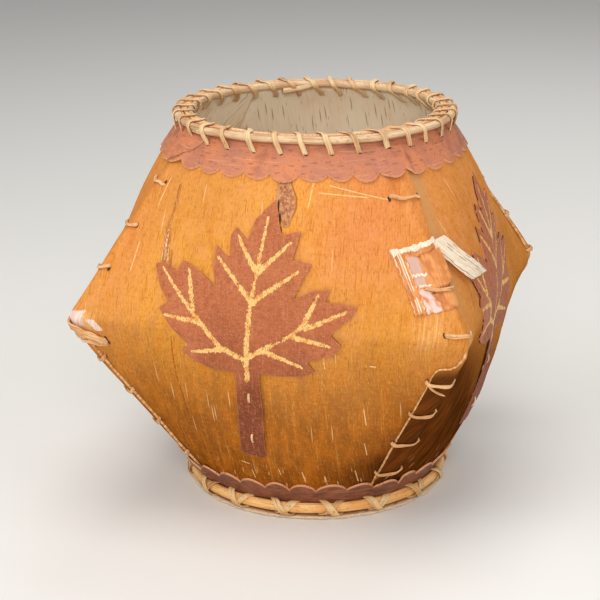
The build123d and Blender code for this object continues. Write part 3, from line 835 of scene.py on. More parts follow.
top_strip = band_strip(
    36, 231.0, 4.0, wall_top, (-0.07, 1.9), seam_span, 11, [(8, 0.5), (9, 0.9), (10, 0.5)], end_slant=1.3
)
top_band = band_sheet("top_band_strip", top_strip, wall_top, False)
bottom_strip = band_strip(32, 22.6, 5.6, floor_thickness, (2.3, 1.4), (11, 40), 23)
bottom_band = band_sheet("bottom_band_strip", bottom_strip, floor_thickness, True)

# %% [markdown]
# ## Hoops
# Each hoop is a split root bent round, so it's never an even tube. Its radius wanders, its split
# side is flatter, and its ends overlap. A ring of points is carried round, with those changes as
# functions of the angle.

# %% Hoops
hoop_points, hoop_sides = 420, 20


def hoop(name, node, radius, height, size, start, overlap, seed, ends, tall=1.0):
    """A rod that starts at an angle and goes past a full turn by the overlap, tapering at its ends.

    ends gives (out, up, thinness) for the first and the last end: how far each moves away from the
    other and how far it tapers.
    """
    total = 2 * pi + overlap
    share = np.linspace(0, 1, hoop_points)
    angle = start + share * total
    (first_out, first_up, first_thin), (last_out, last_up, last_thin) = ends
    from_start, from_end = share * total / overlap, (1 - share) * total / overlap
    first, last = ramp(1 - from_start / 1.1), ramp(1 - from_end / 1.1)
    wander = 0.25 * ripple(angle * 20, 7, seed) + 0.12 * ripple(angle * 20, 2.1, seed + 1)
    out = radius + wander + first_out * first + last_out * last + rim_bulge(angle, height)
    up = height + 0.3 * ripple(angle * 20, 6, seed + 2) + first_up * first + last_up * last
    centre = np.stack([out * np.cos(angle), out * np.sin(angle), up], -1)
    radial = np.stack([np.cos(angle), np.sin(angle), 0 * angle], -1)
    taper = 1 - first_thin * ramp(1 - from_start * 1.6) - last_thin * ramp(1 - from_end * 1.6)
    round_ring = 2 * pi * np.arange(hoop_sides) / hoop_sides
    knobs = 1 + 0.05 * ripple(angle[:, None] * 9 + 5 * np.sin(round_ring), 1.3, seed + 3)
    knobs = knobs + 0.035 * np.cos(3 * round_ring + 2 * ripple(angle * 9, 6, seed + 4)[:, None])
    radius_here = size / 2 * taper[:, None] * knobs
    side = radius_here * np.cos(round_ring)
    side = np.where(side < 0, side * 0.8, side)
    upright = (radius_here * tall * np.sin(round_ring))[..., None] * np.array([0.0, 0.0, 1.0])
    rings = centre[:, None] + radial[:, None] * side[..., None] + upright
    return rod(name, rings[:, ::-1], [node], sharp=50)


def rim_bulge(angle, height):
    """The outer hoop stands out where the top band's ends lie on each other."""
    turn_share = np.mod(angle + 3 * pi / 4, 2 * pi)
    return 1.2 * ramp(1 - np.abs(turn_share - 0.12) / 0.45) * (height > 200)


foot_rod_low = foot_rod_height - 1.2
outer_rim = hoop(
    "outer_rim_rod", "outer_rim_hoop", outer_hoop_radius, rim_height, outer_rod, radians(-133), radians(13),
    3, [(0.5, -2.4, 0.6), (0.0, 0.7, 0.45)], tall=0.88,
)
inner_rim = hoop(
    "inner_rim_rod", "inner_rim_hoop", inner_hoop_radius, rim_height, inner_rod, radians(101), radians(20),
    7, [(-0.2, 0.4, 0.55), (-1.6, -3.6, 0.1)],
)
foot_rim = hoop(
    "foot_rod", "foot_hoop", foot_hoop_radius, foot_rod_low, foot_rod, radians(80), radians(12),
    9, [(0.6, -1.4, 0.6), (0.0, 0.5, 0.45)], tall=1.22,
)

# %% [markdown]
# ## Lashings
# A flat split root goes over both rim hoops, through a hole in the bark below them, and round again.
# In cross section that is a belt round two pulleys. Round the rim it moves on by one pitch a turn,
# quickly over the top and slowly across the outside, where it shows as slanted wraps.

# %% Belts
belt_points, points_per_wrap, root_thickness = 720, 56, 1.0


def belt(circles, gap):
    """Closed line round circles, given as (x, y, radius), at a gap outside them.

    Each point is the farthest reach in its own direction, which makes arcs; the straight runs
    between them come from joining arc to arc. It starts innermost and goes down first.
    """
    direction = 2 * pi * np.roll(np.arange(belt_points), -belt_points // 2) / belt_points
    x, y, r = (np.array(k)[:, None] for k in zip(*circles))
    r = r + gap
    best = (x * np.cos(direction) + y * np.sin(direction) + r).argmax(0)
    x, y, r = x[best, 0], y[best, 0], r[best, 0]
    line = np.stack([x + r * np.cos(direction), y + r * np.sin(direction)], -1)
    normal = np.stack([np.cos(direction), np.sin(direction)], -1)
    line, normal = np.concatenate([line, line[:1]]), np.concatenate([normal, normal[:1]])
    length = run_along(line)
    return length / length[-1], line, normal


def winding(belt_line, first, turns, pitch, shares, wobble, width, seed, bulge=None):
    """Rings of a flat root wound round a hoop.

    The belt gives radius and height; shares gives, for places along the belt, how much of the
    pitch has been covered there. Each wrap is shifted, widened and raised a little at random.
    """
    way = np.arange(points_per_wrap * turns + 1) / points_per_wrap
    turn, part = np.floor(way), np.mod(way, 1)
    where, line, normal = belt_line
    radius, height, normal_r, normal_z = (np.interp(part, where, k) for k in (*line.T, *normal.T))
    jitter = wobble * ripple(way + 0.5, 1.0, seed)
    angle = first + pitch * (turn + np.interp(part, *shares) + jitter)
    proud = 0.12 * ripple(way, 0.21, seed + 1)
    radius = radius + normal_r * proud
    if bulge is not None:
        radius = radius + bulge(angle, height)
    height = height + normal_z * proud
    c, s = np.cos(angle), np.sin(angle)
    points = np.stack([radius * c, radius * s, height], -1)
    out = unit(np.stack([normal_r * c, normal_r * s, normal_z], -1))
    tangent = unit(np.gradient(points, axis=0))
    out = square_to(out, tangent)
    out, across = turned(out, np.cross(out, tangent), 0.25 * ripple(way, 0.6, seed + 2)[:, None])
    wide = width / 2 * (1 + 0.16 * ripple(way, 0.9, seed + 3) + 0.06 * ripple(way, 0.13, seed + 5))
    thick = root_thickness / 2 * (1 + 0.2 * ripple(way, 0.3, seed + 4))
    return ring_points(points, out, across, thick, wide, 2.6)

# %% [markdown]
# The rim's belt goes round both hoops and dives through the bark below them. The foot's belt goes
# round the rod and through the bark above the floor. Its second root runs the other way, farther
# out, so that the two cross on the rod.

# %% Rim and foot lashings
wraps_per_half, foot_wraps, rim_root_width, foot_root_width = 17, 17, 3.4, 4.5
rim_pitch, foot_pitch = 2 * pi / (2 * wraps_per_half), 2 * pi / foot_wraps
rim_hole_height, foot_hole_height, under_gap, over_gap = 243.2, 10.0, 0.6, 1.7
collar_around = np.arange(0, 4, 0.0025)
collar = face(collar_around, rim_hole_height)
collar_angle, collar_radius = np.arctan2(collar[:, 1], collar[:, 0]), np.hypot(collar[:, 0], collar[:, 1])
low_radius = collar_radius.mean()
rim_belt = belt([
    (outer_hoop_radius, rim_height, outer_rod / 2), (inner_hoop_radius, rim_height, inner_rod / 2),
    (low_radius - 3.4, rim_hole_height + 0.4, 0.3), (low_radius + 1.5, rim_hole_height + 0.2, 0.3),
], under_gap)


def rim_follow(angle, height):
    """Wraps stand out over the band's lap at the hoop, and follow the wall where they dive into it."""
    wall = np.interp(angle, collar_angle, collar_radius, period=2 * pi) - low_radius
    low = ramp((248.5 - height) / 4)
    return rim_bulge(angle, rim_height) * (1 - low) + (wall + lap_lift * (wall > 1.5)) * low


rim_shares = ([0, 0.17, 0.34, 0.5, 0.66, 0.83, 1], [0, 0.3, 0.36, 0.5, 0.64, 0.72, 1])
rim_lashings, foot_lashings, rim_dives = [], [], []
for name, first, seed in (("front", 0.0, 31), ("back", pi, 37)):
    rings = winding(
        rim_belt, first, wraps_per_half, -rim_pitch, rim_shares, 0.14, rim_root_width, seed, rim_follow
    )
    low = rings.mean(1)
    dives = np.r_[False, (low[1:-1, 2] <= low[:-2, 2]) & (low[1:-1, 2] < low[2:, 2]), False]
    rim_dives.append(low[dives])
    rim_lashings.append(rod(f"rim_root_{name}", rings, [f"rim_lashing_{name}"]))

foot_round = [(foot_hoop_radius, foot_rod_low + k, foot_rod / 2) for k in (-0.6, 0.6)]
foot_belt = belt([*foot_round, (78.6, foot_hole_height, 0.8)], under_gap)
foot_outer = belt([*foot_round, (78.0, foot_hole_height, 1.2)], over_gap)
foot_shares = ([0, 0.2, 0.3, 0.5, 0.7, 0.8, 1], [0, 0.27, 0.33, 0.5, 0.67, 0.73, 1])
for name, belt_line, sense, seed in (("under", foot_belt, 1, 51), ("over", foot_outer, -1, 57)):
    rings = winding(
        belt_line, pi / 2, foot_wraps, sense * foot_pitch, foot_shares, 0.08, foot_root_width, seed
    )
    foot_lashings.append(rod(f"foot_root_{name}", rings, [f"foot_lashing_{name}"]))

# %% [markdown]
# ## The floor
# A disc of thick bark whose torn edge shows its layers. The surface is turned from one outline, and
# the outline itself wanders with the angle.

# %% Floor disc
def floor_sheet():
    """Radius and height of an outline of points, both rippled round the edge."""
    outline = np.array([
        (0.01, 0.0), (30, 0.0), (60, 0.0), (80, 0.0), (84.6, 0.05), (85.9, 0.3), (86.5, 0.75), (85.8, 1.0),
        (86.7, 1.3), (86.3, 1.7), (85.0, 2.0), (80, 2.0), (60, 2.05), (30, 2.1), (0.01, 2.1),
    ])
    angle = 2 * pi * np.arange(360) / 360
    rim = ramp((outline[:, 0] - 78) / 8)
    layer = np.arange(len(outline))[:, None]
    rough = 0.7 * ripple(angle[None] * 57, 3, 81) + 0.45 * ripple(angle[None] * 57 + layer * 13.7, 1.2, 82)
    radius = outline[:, :1] + rim[:, None] * rough
    bumps = 0.12 * rim[:, None] * ripple(angle[None] * 57 + layer * 5.1, 2, 83)
    height = np.broadcast_to(np.clip(outline[:, 1:] + bumps, 0, 3), radius.shape)
    return np.stack([radius * np.cos(angle), radius * np.sin(angle), height], -1)


floor_disc = rod("floor_bark_disc", floor_sheet(), ["floor_disc"], sharp=35)

# %% [markdown]
# ## The leaves
# A leaf is thin bark cut to an outline, so its mesh can't be a plain grid. The outline is walked at
# even steps, the inside is filled with an even pattern of points, and a triangulation that keeps
# the outline joins them. The flat leaf is then laid on a wall. Its scraped veins are a distance: how
# far each point is from the nearest vein line.

# %% A flat leaf
leaf_outline = np.array([
    (15, 168), (20, 148), (32, 151), (28, 134), (40, 133), (29, 111), (40, 117), (52, 119), (49, 111),
    (69, 110), (66, 104), (53, 92), (60, 86), (55, 79), (38, 73), (43, 67), (35, 63), (20, 62),
    (8, 64), (9, 36), (7, 0), (-10, 2), (-8, 34), (-7, 63), (-22, 64), (-34, 68), (-42, 74),
    (-37, 78), (-49, 90), (-56, 100), (-50, 104), (-56, 113), (-60, 125), (-53, 126), (-45, 122),
    (-41, 129), (-29, 123), (-20, 116), (-22, 128), (-21, 140), (-12, 133), (-12, 146), (-9, 151),
    (-1, 144), (3, 156), (10, 163),
], float)[::-1]
veins = [
    [(0, 58), (0, 73), (2, 101), (6, 125), (9, 145), (11, 158)], [(6, 125), (-7, 146)],
    [(7, 126), (26, 144)], [(4, 107), (-19, 133)], [(5, 109), (32, 128)],
    [(-1, 71), (-16, 78), (-30, 94), (-41, 107), (-54, 123)], [(-34, 100), (-37, 124)],
    [(-30, 93), (-46, 95), (-52, 96)], [(-13, 77), (-35, 74)],
    [(1, 73), (11, 79), (28, 89), (36, 96)], [(35, 95), (45, 115)], [(37, 94), (62, 106)],
    [(30, 88), (53, 84)], [(12, 77), (35, 69)],
]
outline_step, fill_step = 1.1, 1.6


def walked(line, step, soften):
    """A closed line at even steps, with each corner cut off a little."""
    before, after = np.roll(line, 1, 0), np.roll(line, -1, 0)
    back_cut, on_cut = (before - line) * soften, (after - line) * soften
    middle = line * 0.5 + (line + back_cut + line + on_cut) * 0.25
    cut = np.stack([line + back_cut, middle, line + on_cut], 1).reshape(-1, 2)
    closed = np.concatenate([cut, cut[:1]])
    length = run_along(closed)
    at = np.linspace(0, length[-1], int(length[-1] / step), endpoint=False)
    return np.stack([np.interp(at, length, closed[:, k]) for k in (0, 1)], -1)


def inside_line(points, line):
    """Even and odd: a point is inside where a level ray from it crosses the line an odd number of times."""
    x, y = points[:, :1], points[:, 1:]
    (ax, ay), (bx, by) = line.T, np.roll(line, -1, 0).T
    crosses = (ay > y) != (by > y)
    at = ax + (y - ay) / np.where(by == ay, 1, by - ay) * (bx - ax)
    return (crosses & (x < at)).sum(1) % 2 == 1

# %% [markdown]
# The filling keeps clear of the outline, so that no triangle there is a sliver. The triangulation
# works on whole polygons of the outline and returns only what lies inside it.

# %% Fill and triangles
corner_cut = 0.08
rim_line = walked(leaf_outline, outline_step, corner_cut)
closed_rim = [tuple(p) for p in rim_line] + [tuple(rim_line[0])]
gx, gy = np.meshgrid(np.arange(-64, 74, fill_step), np.arange(-2, 172, fill_step * 0.87))
gx = gx + (np.arange(gx.shape[0])[:, None] % 2) * fill_step / 2
fill = np.stack([gx.ravel(), gy.ravel()], -1)
fill = fill[inside_line(fill, rim_line)]
fill = fill[line_distance(fill[:, 0], fill[:, 1], closed_rim) > 0.7 * outline_step]
flat_points = np.concatenate([rim_line, fill])
flat_leaf = delaunay_2d_cdt([Vector(p) for p in flat_points], [], [list(range(len(rim_line)))], 1, 1e-5)
leaf_points = np.array([tuple(p) for p in flat_leaf[0]])
leaf_triangles = np.array([list(f) for f in flat_leaf[2] if len(f) == 3])
leaf_rim = np.arange(len(rim_line))


def vein_spread(x, y, line):
    """Distance from a vein over its own half width there, which shrinks towards its tip."""
    pieces = np.hypot(*np.diff(np.array(line, float), axis=0).T)
    reached, best = 0.0, np.full(x.shape, 1e9)
    for (ax, ay), (bx, by), length in zip(line, line[1:], pieces):
        share = np.clip(((x - ax) * (bx - ax) + (y - ay) * (by - ay)) / length**2, 0, 1)
        away = np.hypot(x - ax - share * (bx - ax), y - ay - share * (by - ay))
        along = (reached + share * length) / pieces.sum()
        best = np.minimum(best, away / (1.25 - 0.6 * along**1.5))
        reached += length
    return best


vein_distance = np.min([vein_spread(leaf_points[:, 0], leaf_points[:, 1], v) for v in veins], 0)
rim_distance = line_distance(leaf_points[:, 0], leaf_points[:, 1], closed_rim)
print("leaf", len(leaf_points), "points", len(leaf_triangles), "triangles")


def leaf_piece(side):
    """The flat leaf laid on a wall: each point goes to its place on the face, moved out by its lift.

    The rim lifts by a smooth ramp times slow noise, and the upper face sinks along the veins.
    """
    x, y = leaf_points.T
    n = len(leaf_points)
    around = across_side(side, x + leaf_shifts[side], y + leaf_foot)
    lift = 1.3 * ramp(1 - rim_distance / 11) * np.clip(ripple(x + 0.6 * y, 21, 90 + side), 0, 1)
    groove = 0.35 * ramp(1.9 - vein_distance)
    top = face(around, y + leaf_foot, 1.0 + lift - groove - 0.25 * (rim_distance < 0.01))
    under = face(around, y + leaf_foot, 0.1 + lift)
    a, b = leaf_rim, np.roll(leaf_rim, -1)
    loop = np.stack([b, a, a + n, b + n], 1)
    area = np.cross(leaf_points[b], leaf_points[a]).sum()
    if area > 0:
        loop = loop[:, ::-1]
    first = leaf_points[leaf_triangles]
    upside_down = np.cross(first[:, 1] - first[:, 0], first[:, 2] - first[:, 0]) < 0
    triangles = np.where(upside_down[:, None], leaf_triangles[:, ::-1], leaf_triangles)
    faces = [*triangles, *(triangles[:, ::-1] + n), *loop]
    flat = np.concatenate(faces)
    base = flat % n
    kinds = np.repeat([0, 1, 2], [len(triangles) * 3, len(triangles) * 3, len(loop) * 4])
    fields = {
        "cut": kinds == 2, "inside": kinds == 1,
        "vein": vein_distance[base], "rim": rim_distance[base],
    }
    name = f"{sides[side]}_leaf_bark"
    points = np.concatenate([top, under])
    return mesh_object(
        name, points, faces, [f"{sides[side]}_leaf"], leaf_points[base] * MM, fields, 50
    )


leaves = [leaf_piece(side) for side in range(4)]

# %% [markdown]
# ## Stitches
# A stitch is a flat strip of root that comes out of one hole and goes into another. Its line passes
# a few places, each given beside a corner or on a side, as a run, a height and a distance from the
# bark. A smooth curve goes through them.

# %% Smooth lines through places
def smooth_line(places, per=10):
    """Catmull-Rom: between two places the curve is a cubic whose slopes come from their neighbours."""
    p = np.concatenate([[2 * places[0] - places[1]], places, [2 * places[-1] - places[-2]]])
    u = (np.arange(per) / per)[None, :, None]
    a, b, c, d = (p[k:len(p) - 3 + k, None] for k in range(4))
    curve = 0.5 * (2 * b + (c - a) * u + (2 * a - 5 * b + 4 * c - d) * u**2 + (3 * b - a - 3 * c + d) * u**3)
    return np.concatenate([curve.reshape(-1, places.shape[1]), places[-1:]])


def strip_rings(line, upward, width, thickness, seed, taper=1.5):
    """Rings of a flat strip that keeps its width along the upward direction, pointed at both ends."""
    tangent = unit(np.gradient(line, axis=0))
    across = square_to(upward, tangent)
    at = run_along(line)
    thin = np.sqrt(ramp(np.minimum(at, at[-1] - at) / taper + 0.15))
    wide = width / 2 * thin * (1 + 0.15 * ripple(at, 6, seed) + 0.07 * ripple(at, 1.7, seed + 1))
    thick = thickness / 2 * thin * (1 + 0.15 * ripple(at, 4, seed + 2))
    normal, across = turned(np.cross(tangent, across), across, (0.35 * ripple(at, 9, seed + 3))[:, None])
    return ring_points(line, normal, across, thick, wide, 2.5)


def beside_strip(corner, places, per, level, *shape):
    """Rings of a strip through places beside a corner, with its width uphill.

    Uphill is found on the bark where the level is 0, and at the strip's own distance where it's 1.
    """
    run, z, offset = places.T
    line = smooth_line(beside_points(corner, run, z, offset), per)
    above, below = (beside_points(corner, run, z + k, offset * level) for k in (2, -2))
    return strip_rings(line, smooth_line(unit(above - below), per), *shape)


def seam_sides(corner, upper):
    """1 where the lapping sheet is right of the corner, and -1 where it is left of it."""
    left = (corner - 1) % 4
    return -1 if (left % 2 == 0) == upper else 1


upper_anchors, lower_anchor, upper_landing, stitch_pitch = [5.0, 12.0, 9.0, 5.0], 4.0, 7.5, 23


def seam_reach(corner, upper):
    """How far from the corner a stitch starts in the lapping sheet and ends in the other one."""
    if upper:
        return upper_anchors[corner], upper_landing
    return lower_anchor, lower_laps[corner] + 1.5


def seam_heights(corner, upper):
    """Heights of a seam's stitches. One lies under the torn patch, and one under the bound tip."""
    tip = tips[corner]
    low, high = (tip + 5, 217.5) if upper else (36.5, tip - 27)
    stitches = np.linspace(low, high, int((high - low) / stitch_pitch) + 1)
    if upper and corner == 1:
        return np.delete(stitches, 2)
    return stitches[1:] if upper and corner == 0 else stitches


def seam_root(corner, upper):
    """One root through all the stitches of half a seam, in, over, out and on to the next."""
    end, (anchor, landing) = seam_sides(corner, upper), seam_reach(corner, upper)
    rng = np.random.default_rng(200 + 10 * corner + upper)
    patched = 1.2 if corner == 1 and upper else 0.0
    sag = 1.0 if upper else 1.9
    places, stitches = [], seam_heights(corner, upper)
    for i, z in enumerate(stitches):
        tilt, drop = rng.uniform(-1.5, 1.5), sag * rng.uniform(0.7, 1.3)
        own, far = end * (anchor + rng.uniform(-0.8, 0.8)), -end * landing
        high, low = z + tilt, z - tilt
        near = 1.15 + lap_lift * max(0.0, 1 - abs(own) / lap_rise) + (patched if z < 190 else 0)
        steps = [
            (own, high, -3.4), (own, high, -1.2), (own * 0.97, high - 0.2, near - 0.3),
            (own * 0.82, high - 0.35 * drop, near + 0.25),
            (own * 0.45, z - 0.85 * drop, near + 0.5 + 0.5 * lap_lift),
            (0, z - drop, lap_lift + (1.4 if upper else 0.8) + patched * (z < 190)),
            (far * 0.5, z - 0.85 * drop, lap_lift + 1.0), (far * 0.84, low - 0.35 * drop, lap_lift + 0.9),
            (far, low - 0.1, 0.9), (far, low, -1.2), (far, low, -3.4),
        ]
        if not upper or abs(own) <= 5:
            steps = [s for k, s in enumerate(steps) if k != 4]
        places += steps
        if i + 1 < len(stitches):
            places.append(((own + far) / 2, (z + stitches[i + 1]) / 2, -4.2))
    width, seed = (2.4 if upper else 2.7), 300 + 10 * corner + upper
    rings = [beside_strip(corner, np.array(places), 9, 0, width, 1.05, seed)]
    if corner == 1 and not upper:
        z, far = stitches[-1], -end * landing
        loose = beside_points(
            corner, far * np.array([1, 0.98, 0.7, 0.35, 0.05]), z - np.array([0, 0.6, 3.2, 5.6, 7.2]),
            np.array([-1.5, 1.2, 3.2, 3.9, 4.6]),
        )
        curve = smooth_line(loose, 9)
        rings.append(strip_rings(curve, np.broadcast_to([0.0, 0.0, 1.0], curve.shape), 1.5, 0.9, 377, 4.0))
    place = f"{'upper' if upper else 'lower'}_seam"
    node = f"{place}_root_{corners[corner]}"
    return rod(f"{place}_strip_{corners[corner]}", rings, [node])


seam_roots = [seam_root(corner, upper) for corner in range(4) for upper in (True, False)]


def leaf_stitch_rings(side, foot, seed):
    """A short upright stitch over the middle of a leaf's stem."""
    x = leaf_shifts[side] + 0.5 * np.sin(seed)
    z = leaf_foot + foot + np.array([0, 0, 0.4, 2, 4.5, 6.6, 7, 7.0])
    offset = np.array([-3.2, -1, 0.8, 1.7, 1.9, 0.9, -1, -3.2])
    around = across_side(side, x + np.zeros(len(z)), z)
    points = face(around, z, offset)
    sideways = np.broadcast_to(rightward(side), points.shape)
    line, across = smooth_line(points, 6), smooth_line(sideways, 6)
    return strip_rings(line, across, 1.5, 0.8, seed, 1.0)


leaf_threads = []
for side in range(4):
    rings = [leaf_stitch_rings(side, foot, 400 + side + int(foot)) for foot in (12.0, 42.0)]
    name, node = f"{sides[side]}_leaf_thread", f"{sides[side]}_leaf_stitches"
    leaf_threads.append(rod(name, rings, [node]))

# %% [markdown]
# ## The torn patch
# Beside the front right corner the bark's outer layers are torn. What is left is a stack of ledges:
# a pale broken frame along the top and the left, two loose orange flaps, and a long papery strip
# that has curled away over the next wall. The stack is one height field, made of smooth steps
# between regions whose borders are ragged.

# %% Torn layers
patch_wide, patch_tall, strip_length = 29, 34, 42


def torn_layers():
    """A height field of ledges: smooth steps where ragged places across and down pass a border."""
    across, up = np.linspace(0, 1, 96)[None], np.linspace(1, 0, 118)[:, None]
    wide_mm, tall_mm = across * patch_wide, up * patch_tall
    rough_a = 0.018 * ripple(tall_mm + across * 3, 1.1, 501) + 0.02 * ripple(tall_mm, 3.7, 502)
    rough_b = 0.014 * ripple(wide_mm + up * 5, 0.9, 503) + 0.02 * ripple(wide_mm, 3.1, 504)
    a, b = across + rough_a, up + rough_b

    def over(x, edge, soft=0.02):
        """1 where x is over an edge, by a smooth step."""
        return ramp((x - edge) / soft)

    top_frame = over(0.105 - b, 0)
    strip = over(0.17 - b, 0) * over(a, 0.42) * (1 - top_frame)
    left_frame = over(0.27 - a, 0, 0.03) * (1 - top_frame)
    flap_edge = 0.5 + 0.12 * ramp((b - 0.62) / 0.3)
    upper_flap = over(a, flap_edge) * over(b, 0.175) * over(0.695 - b, 0)
    lower_flap = over(a, flap_edge + 0.02) * over(b, 0.73)
    cracks_and_painted_shade = over(a, flap_edge) * over(b, 0.685) * over(0.74 - b, 0)
    first_ledge = over(b, 0.41) * over(0.475 - b, 0) * over(a, 0.25) * over(0.58 - a, 0)
    second_ledge = over(b, 0.58) * over(0.635 - b, 0) * over(a, 0.3) * over(0.6 - a, 0)
    pink = over(b, 0.63, 0.05) * over(flap_edge - a, 0) * over(a, 0.27)
    ridges = 0.5 + 0.5 * ripple(wide_mm + 0.5 * ripple(b * 5, 1, 505), 0.8, 515)
    shreds = ripple(a * 40 + b * 4, 0.7, 506) * ripple(b * 30, 1.3, 507)
    height = (
        0.35 + 1.5 * top_frame + 0.9 * strip + left_frame * (0.7 + 0.7 * ridges) + 1.15 * upper_flap
        + 0.8 * lower_flap + 0.8 * first_ledge + 0.7 * second_ledge + 0.35 * pink + 0.22 * shreds
    )
    height = height + 1.3 * upper_flap * ramp((a - 0.78) / 0.25) + 0.5 * upper_flap * ramp((b - 0.55) / 0.15)
    border = np.minimum(np.minimum(across, 1 - across) * patch_wide, np.minimum(up, 1 - up) * patch_tall)
    height = 0.3 + (height - 0.3) * ramp(border / 0.5 + 0.35)
    bands = left_frame * ramp(ridges * 2.2 - 0.75) * (0.55 + 0.45 * ripple(b * patch_tall, 3.5, 516))
    white = np.clip(top_frame * (0.8 + 0.3 * shreds) + bands + first_ledge + second_ledge, 0, 1)
    grey = np.clip(over(a, 0.27) * over(0.52 - a, 0) * over(0.6 - b, 0) * (1 - white) * over(b, 0.15), 0, 1)
    # Painted shade in the recesses: the crack under the upper flap, the valleys between the frame's ridges
    # and the low shreds are darkened.
    painted_shade_and_dark_tone = np.clip(cracks_and_painted_shade + 0.5 * left_frame * (ridges < 0.2) + 0.4 * top_frame * (shreds < -0.3), 0, 1)
    fields = {"white": white, "pink": pink, "grey": grey, "cracks_and_painted_shade": painted_shade_and_dark_tone}
    rough_edge = 0.5 * ripple(wide_mm, 1.4, 510) * (up > 0.99)
    rough_edge = rough_edge + 0.7 * ripple(wide_mm, 2.2, 511) * (up < 0.01)
    z = 158 + patch_tall * (1 - up) + rough_edge + 5.5 * (across - 0.3)
    left = 0.7 * ripple(tall_mm, 1.6, 512) * ramp(1 - across * 8)
    run = -24.5 + 29.5 * across + left
    corner_lift = lap_lift * ramp(1 + run / lap_rise) + 0.25
    standing = corner_lift + 0.8 * ramp((across - 0.75) / 0.25) * ramp(1 - abs(up - 0.4) / 0.4)
    run, z = np.broadcast_arrays(run, z)
    outer = beside_points(1, run, z, standing + height)
    inner = beside_points(1, run, z, standing)
    uv = np.stack([run, z], -1)
    return sheet("torn_bark_layers", outer, inner, uv, ["torn_patch"], fields, sharp=55)


torn_layers_piece = torn_layers()


def peeled_strip():
    """A papery strip: a centre line over the next wall, and a width that rolls up at its edges."""
    along = np.linspace(0, 1, 90)[:, None]
    wide = np.linspace(-1, 1, 26)[None]
    run = 7.5 + 31 * along
    z = 194 - 26 * along - 2.2 * np.sin(pi * along)
    half = 7.6 + 3.6 * along + 0.2 * ripple(along * strip_length, 5, 521)
    half = half + 0.12 * ripple(along * strip_length + 3 * wide, 0.8, 522)
    roll = 2.0 * wide**2 * (0.4 + 0.4 * along) + 0.4 * ripple(wide * 3 + along * 2, 0.7, 523)
    stand = 3.2 + 3.6 * ramp(along * 1.15) - 0.4 * np.sin(pi * along)
    run_at = run + wide * half
    z_at = z + wide * (0.4 - 0.6 * along) + 0.5 * ramp(along * 8 - 7) * ripple(wide * 5, 0.7, 528)
    offset = stand - roll * (wide < 0) * 1.2 + roll * (wide >= 0) * 0.35
    offset = offset + 0.12 * ripple(wide * 6, 0.35, 524) + 0.15 * ripple(along * strip_length, 3.5, 525)
    outer = beside_points(1, run_at, z_at, offset + 0.55)
    inner = beside_points(1, run_at, z_at, offset)
    uv = np.stack([wide * half + 0 * along, strip_length * along + 0 * wide], -1)
    lines = ramp(ripple(wide * 6 + 0.4 * ripple(along * 3, 1, 526), 0.55, 527) * 3.2 - 1.5)
    lines = lines * (0.55 + 0.45 * ramp(ripple(along * 5, 1, 529) + 0.6)) + 0 * run_at
    fields = {"white": 1.0, "cracks_and_painted_shade": lines[::-1], "pink": 0.0, "grey": 0.0}
    outer, inner, uv = outer[::-1], inner[::-1], uv[::-1]
    return sheet("peeled_bark_strip", outer, inner, uv, [], fields, sharp=55)


strip_piece = peeled_strip()

# %% [markdown]
# ## The bound tip
# The front left tip is blunt. Just under it a few strands of root are wound over the seam and end in
# one hole. All holes are thin lenses that lie in the bark, coloured dark as painted shade inside them.

# %% Bound tip
def bound_tip():
    """Strands beside each other round the seam, each a little lower and longer than the last."""
    strands = []
    tip = tips[0]
    rng = np.random.default_rng(77)
    for k in range(8):
        start_z, end_z = tip - 2.0 - 1.7 * k, tip - 12.5 - 1.2 * (k % 4)
        lift, turn = 0.5 * (k % 3), rng.uniform(-1.6, 1.6, 4)
        places = np.array([
            (-10 + 0.6 * k, start_z + 2.5, -2.5), (-8 + 0.6 * k, start_z + 1.8 + turn[0], 0.5),
            (-4, start_z + 1, 1.9 + lift), (0, start_z - 0.6, 2.0 + lift),
            (4.5, (2 * start_z + end_z) / 3 + turn[1], 1.9 + 0.45 * ((k + 1) % 3)),
            (9.5, (start_z + 2 * end_z) / 3 + turn[2], 1.6 + 0.45 * ((k + 2) % 3)),
            (14, end_z + 0.3 * turn[3], 1.0), (15.8, tip - 13.5, -0.4), (16.3, tip - 14.0, -3.0),
        ])
        strands.append(beside_strip(0, places, 8, 1, 2.0 + 0.5 * (k % 2), 1.3, 610 + 5 * k))
    return rod("bound_tip_root", strands)


tip_wrap = bound_tip()

# %% [markdown]
# Every stitch needs its hole. The seams' holes come from the same heights and reaches as their
# stitches, and the rim's from where each wrap is lowest. Four long splits lie below the band.

# %% Holes
def lenses(name, centres, normals_at, lengthways, half_length, half_width):
    """Thin lenses: two fans of triangles that meet in a ring, the outer hub a little proud."""
    m = 10
    angle = 2 * pi * np.arange(m) / m
    sideways = np.cross(normals_at, lengthways)
    ring = (
        centres[:, None] + lengthways[:, None] * (half_length[:, None] * np.cos(angle))[..., None]
        + sideways[:, None] * (half_width[:, None] * np.sin(angle))[..., None]
    )
    hubs = np.stack([centres + normals_at * 0.25, centres - normals_at * 0.8], 1)
    points = np.concatenate([ring, hubs], 1)
    first = (np.arange(len(centres)) * (m + 2))[:, None, None]
    k = np.arange(m)
    turn = (k + 1) % m
    top = np.stack([k, turn, np.full(m, m)], 1)
    under = np.stack([turn, k, np.full(m, m + 1)], 1)
    faces = (first + np.concatenate([top, under])[None]).reshape(-1, 3)
    if (np.cross(lengthways[0], sideways[0]) @ normals_at[0]) < 0:
        faces = faces[:, ::-1]
    return mesh_object(name, points.reshape(-1, 3), faces, [])


def wall_frame(around, z, offset):
    """Point, normal and uphill direction on the walls."""
    point, normal = face(around, z, offset), sample(normals, around, z)
    uphill = unit(face(around, z + 1, offset) - face(around, z - 1, offset))
    return point, unit(normal), square_to(uphill, normal)


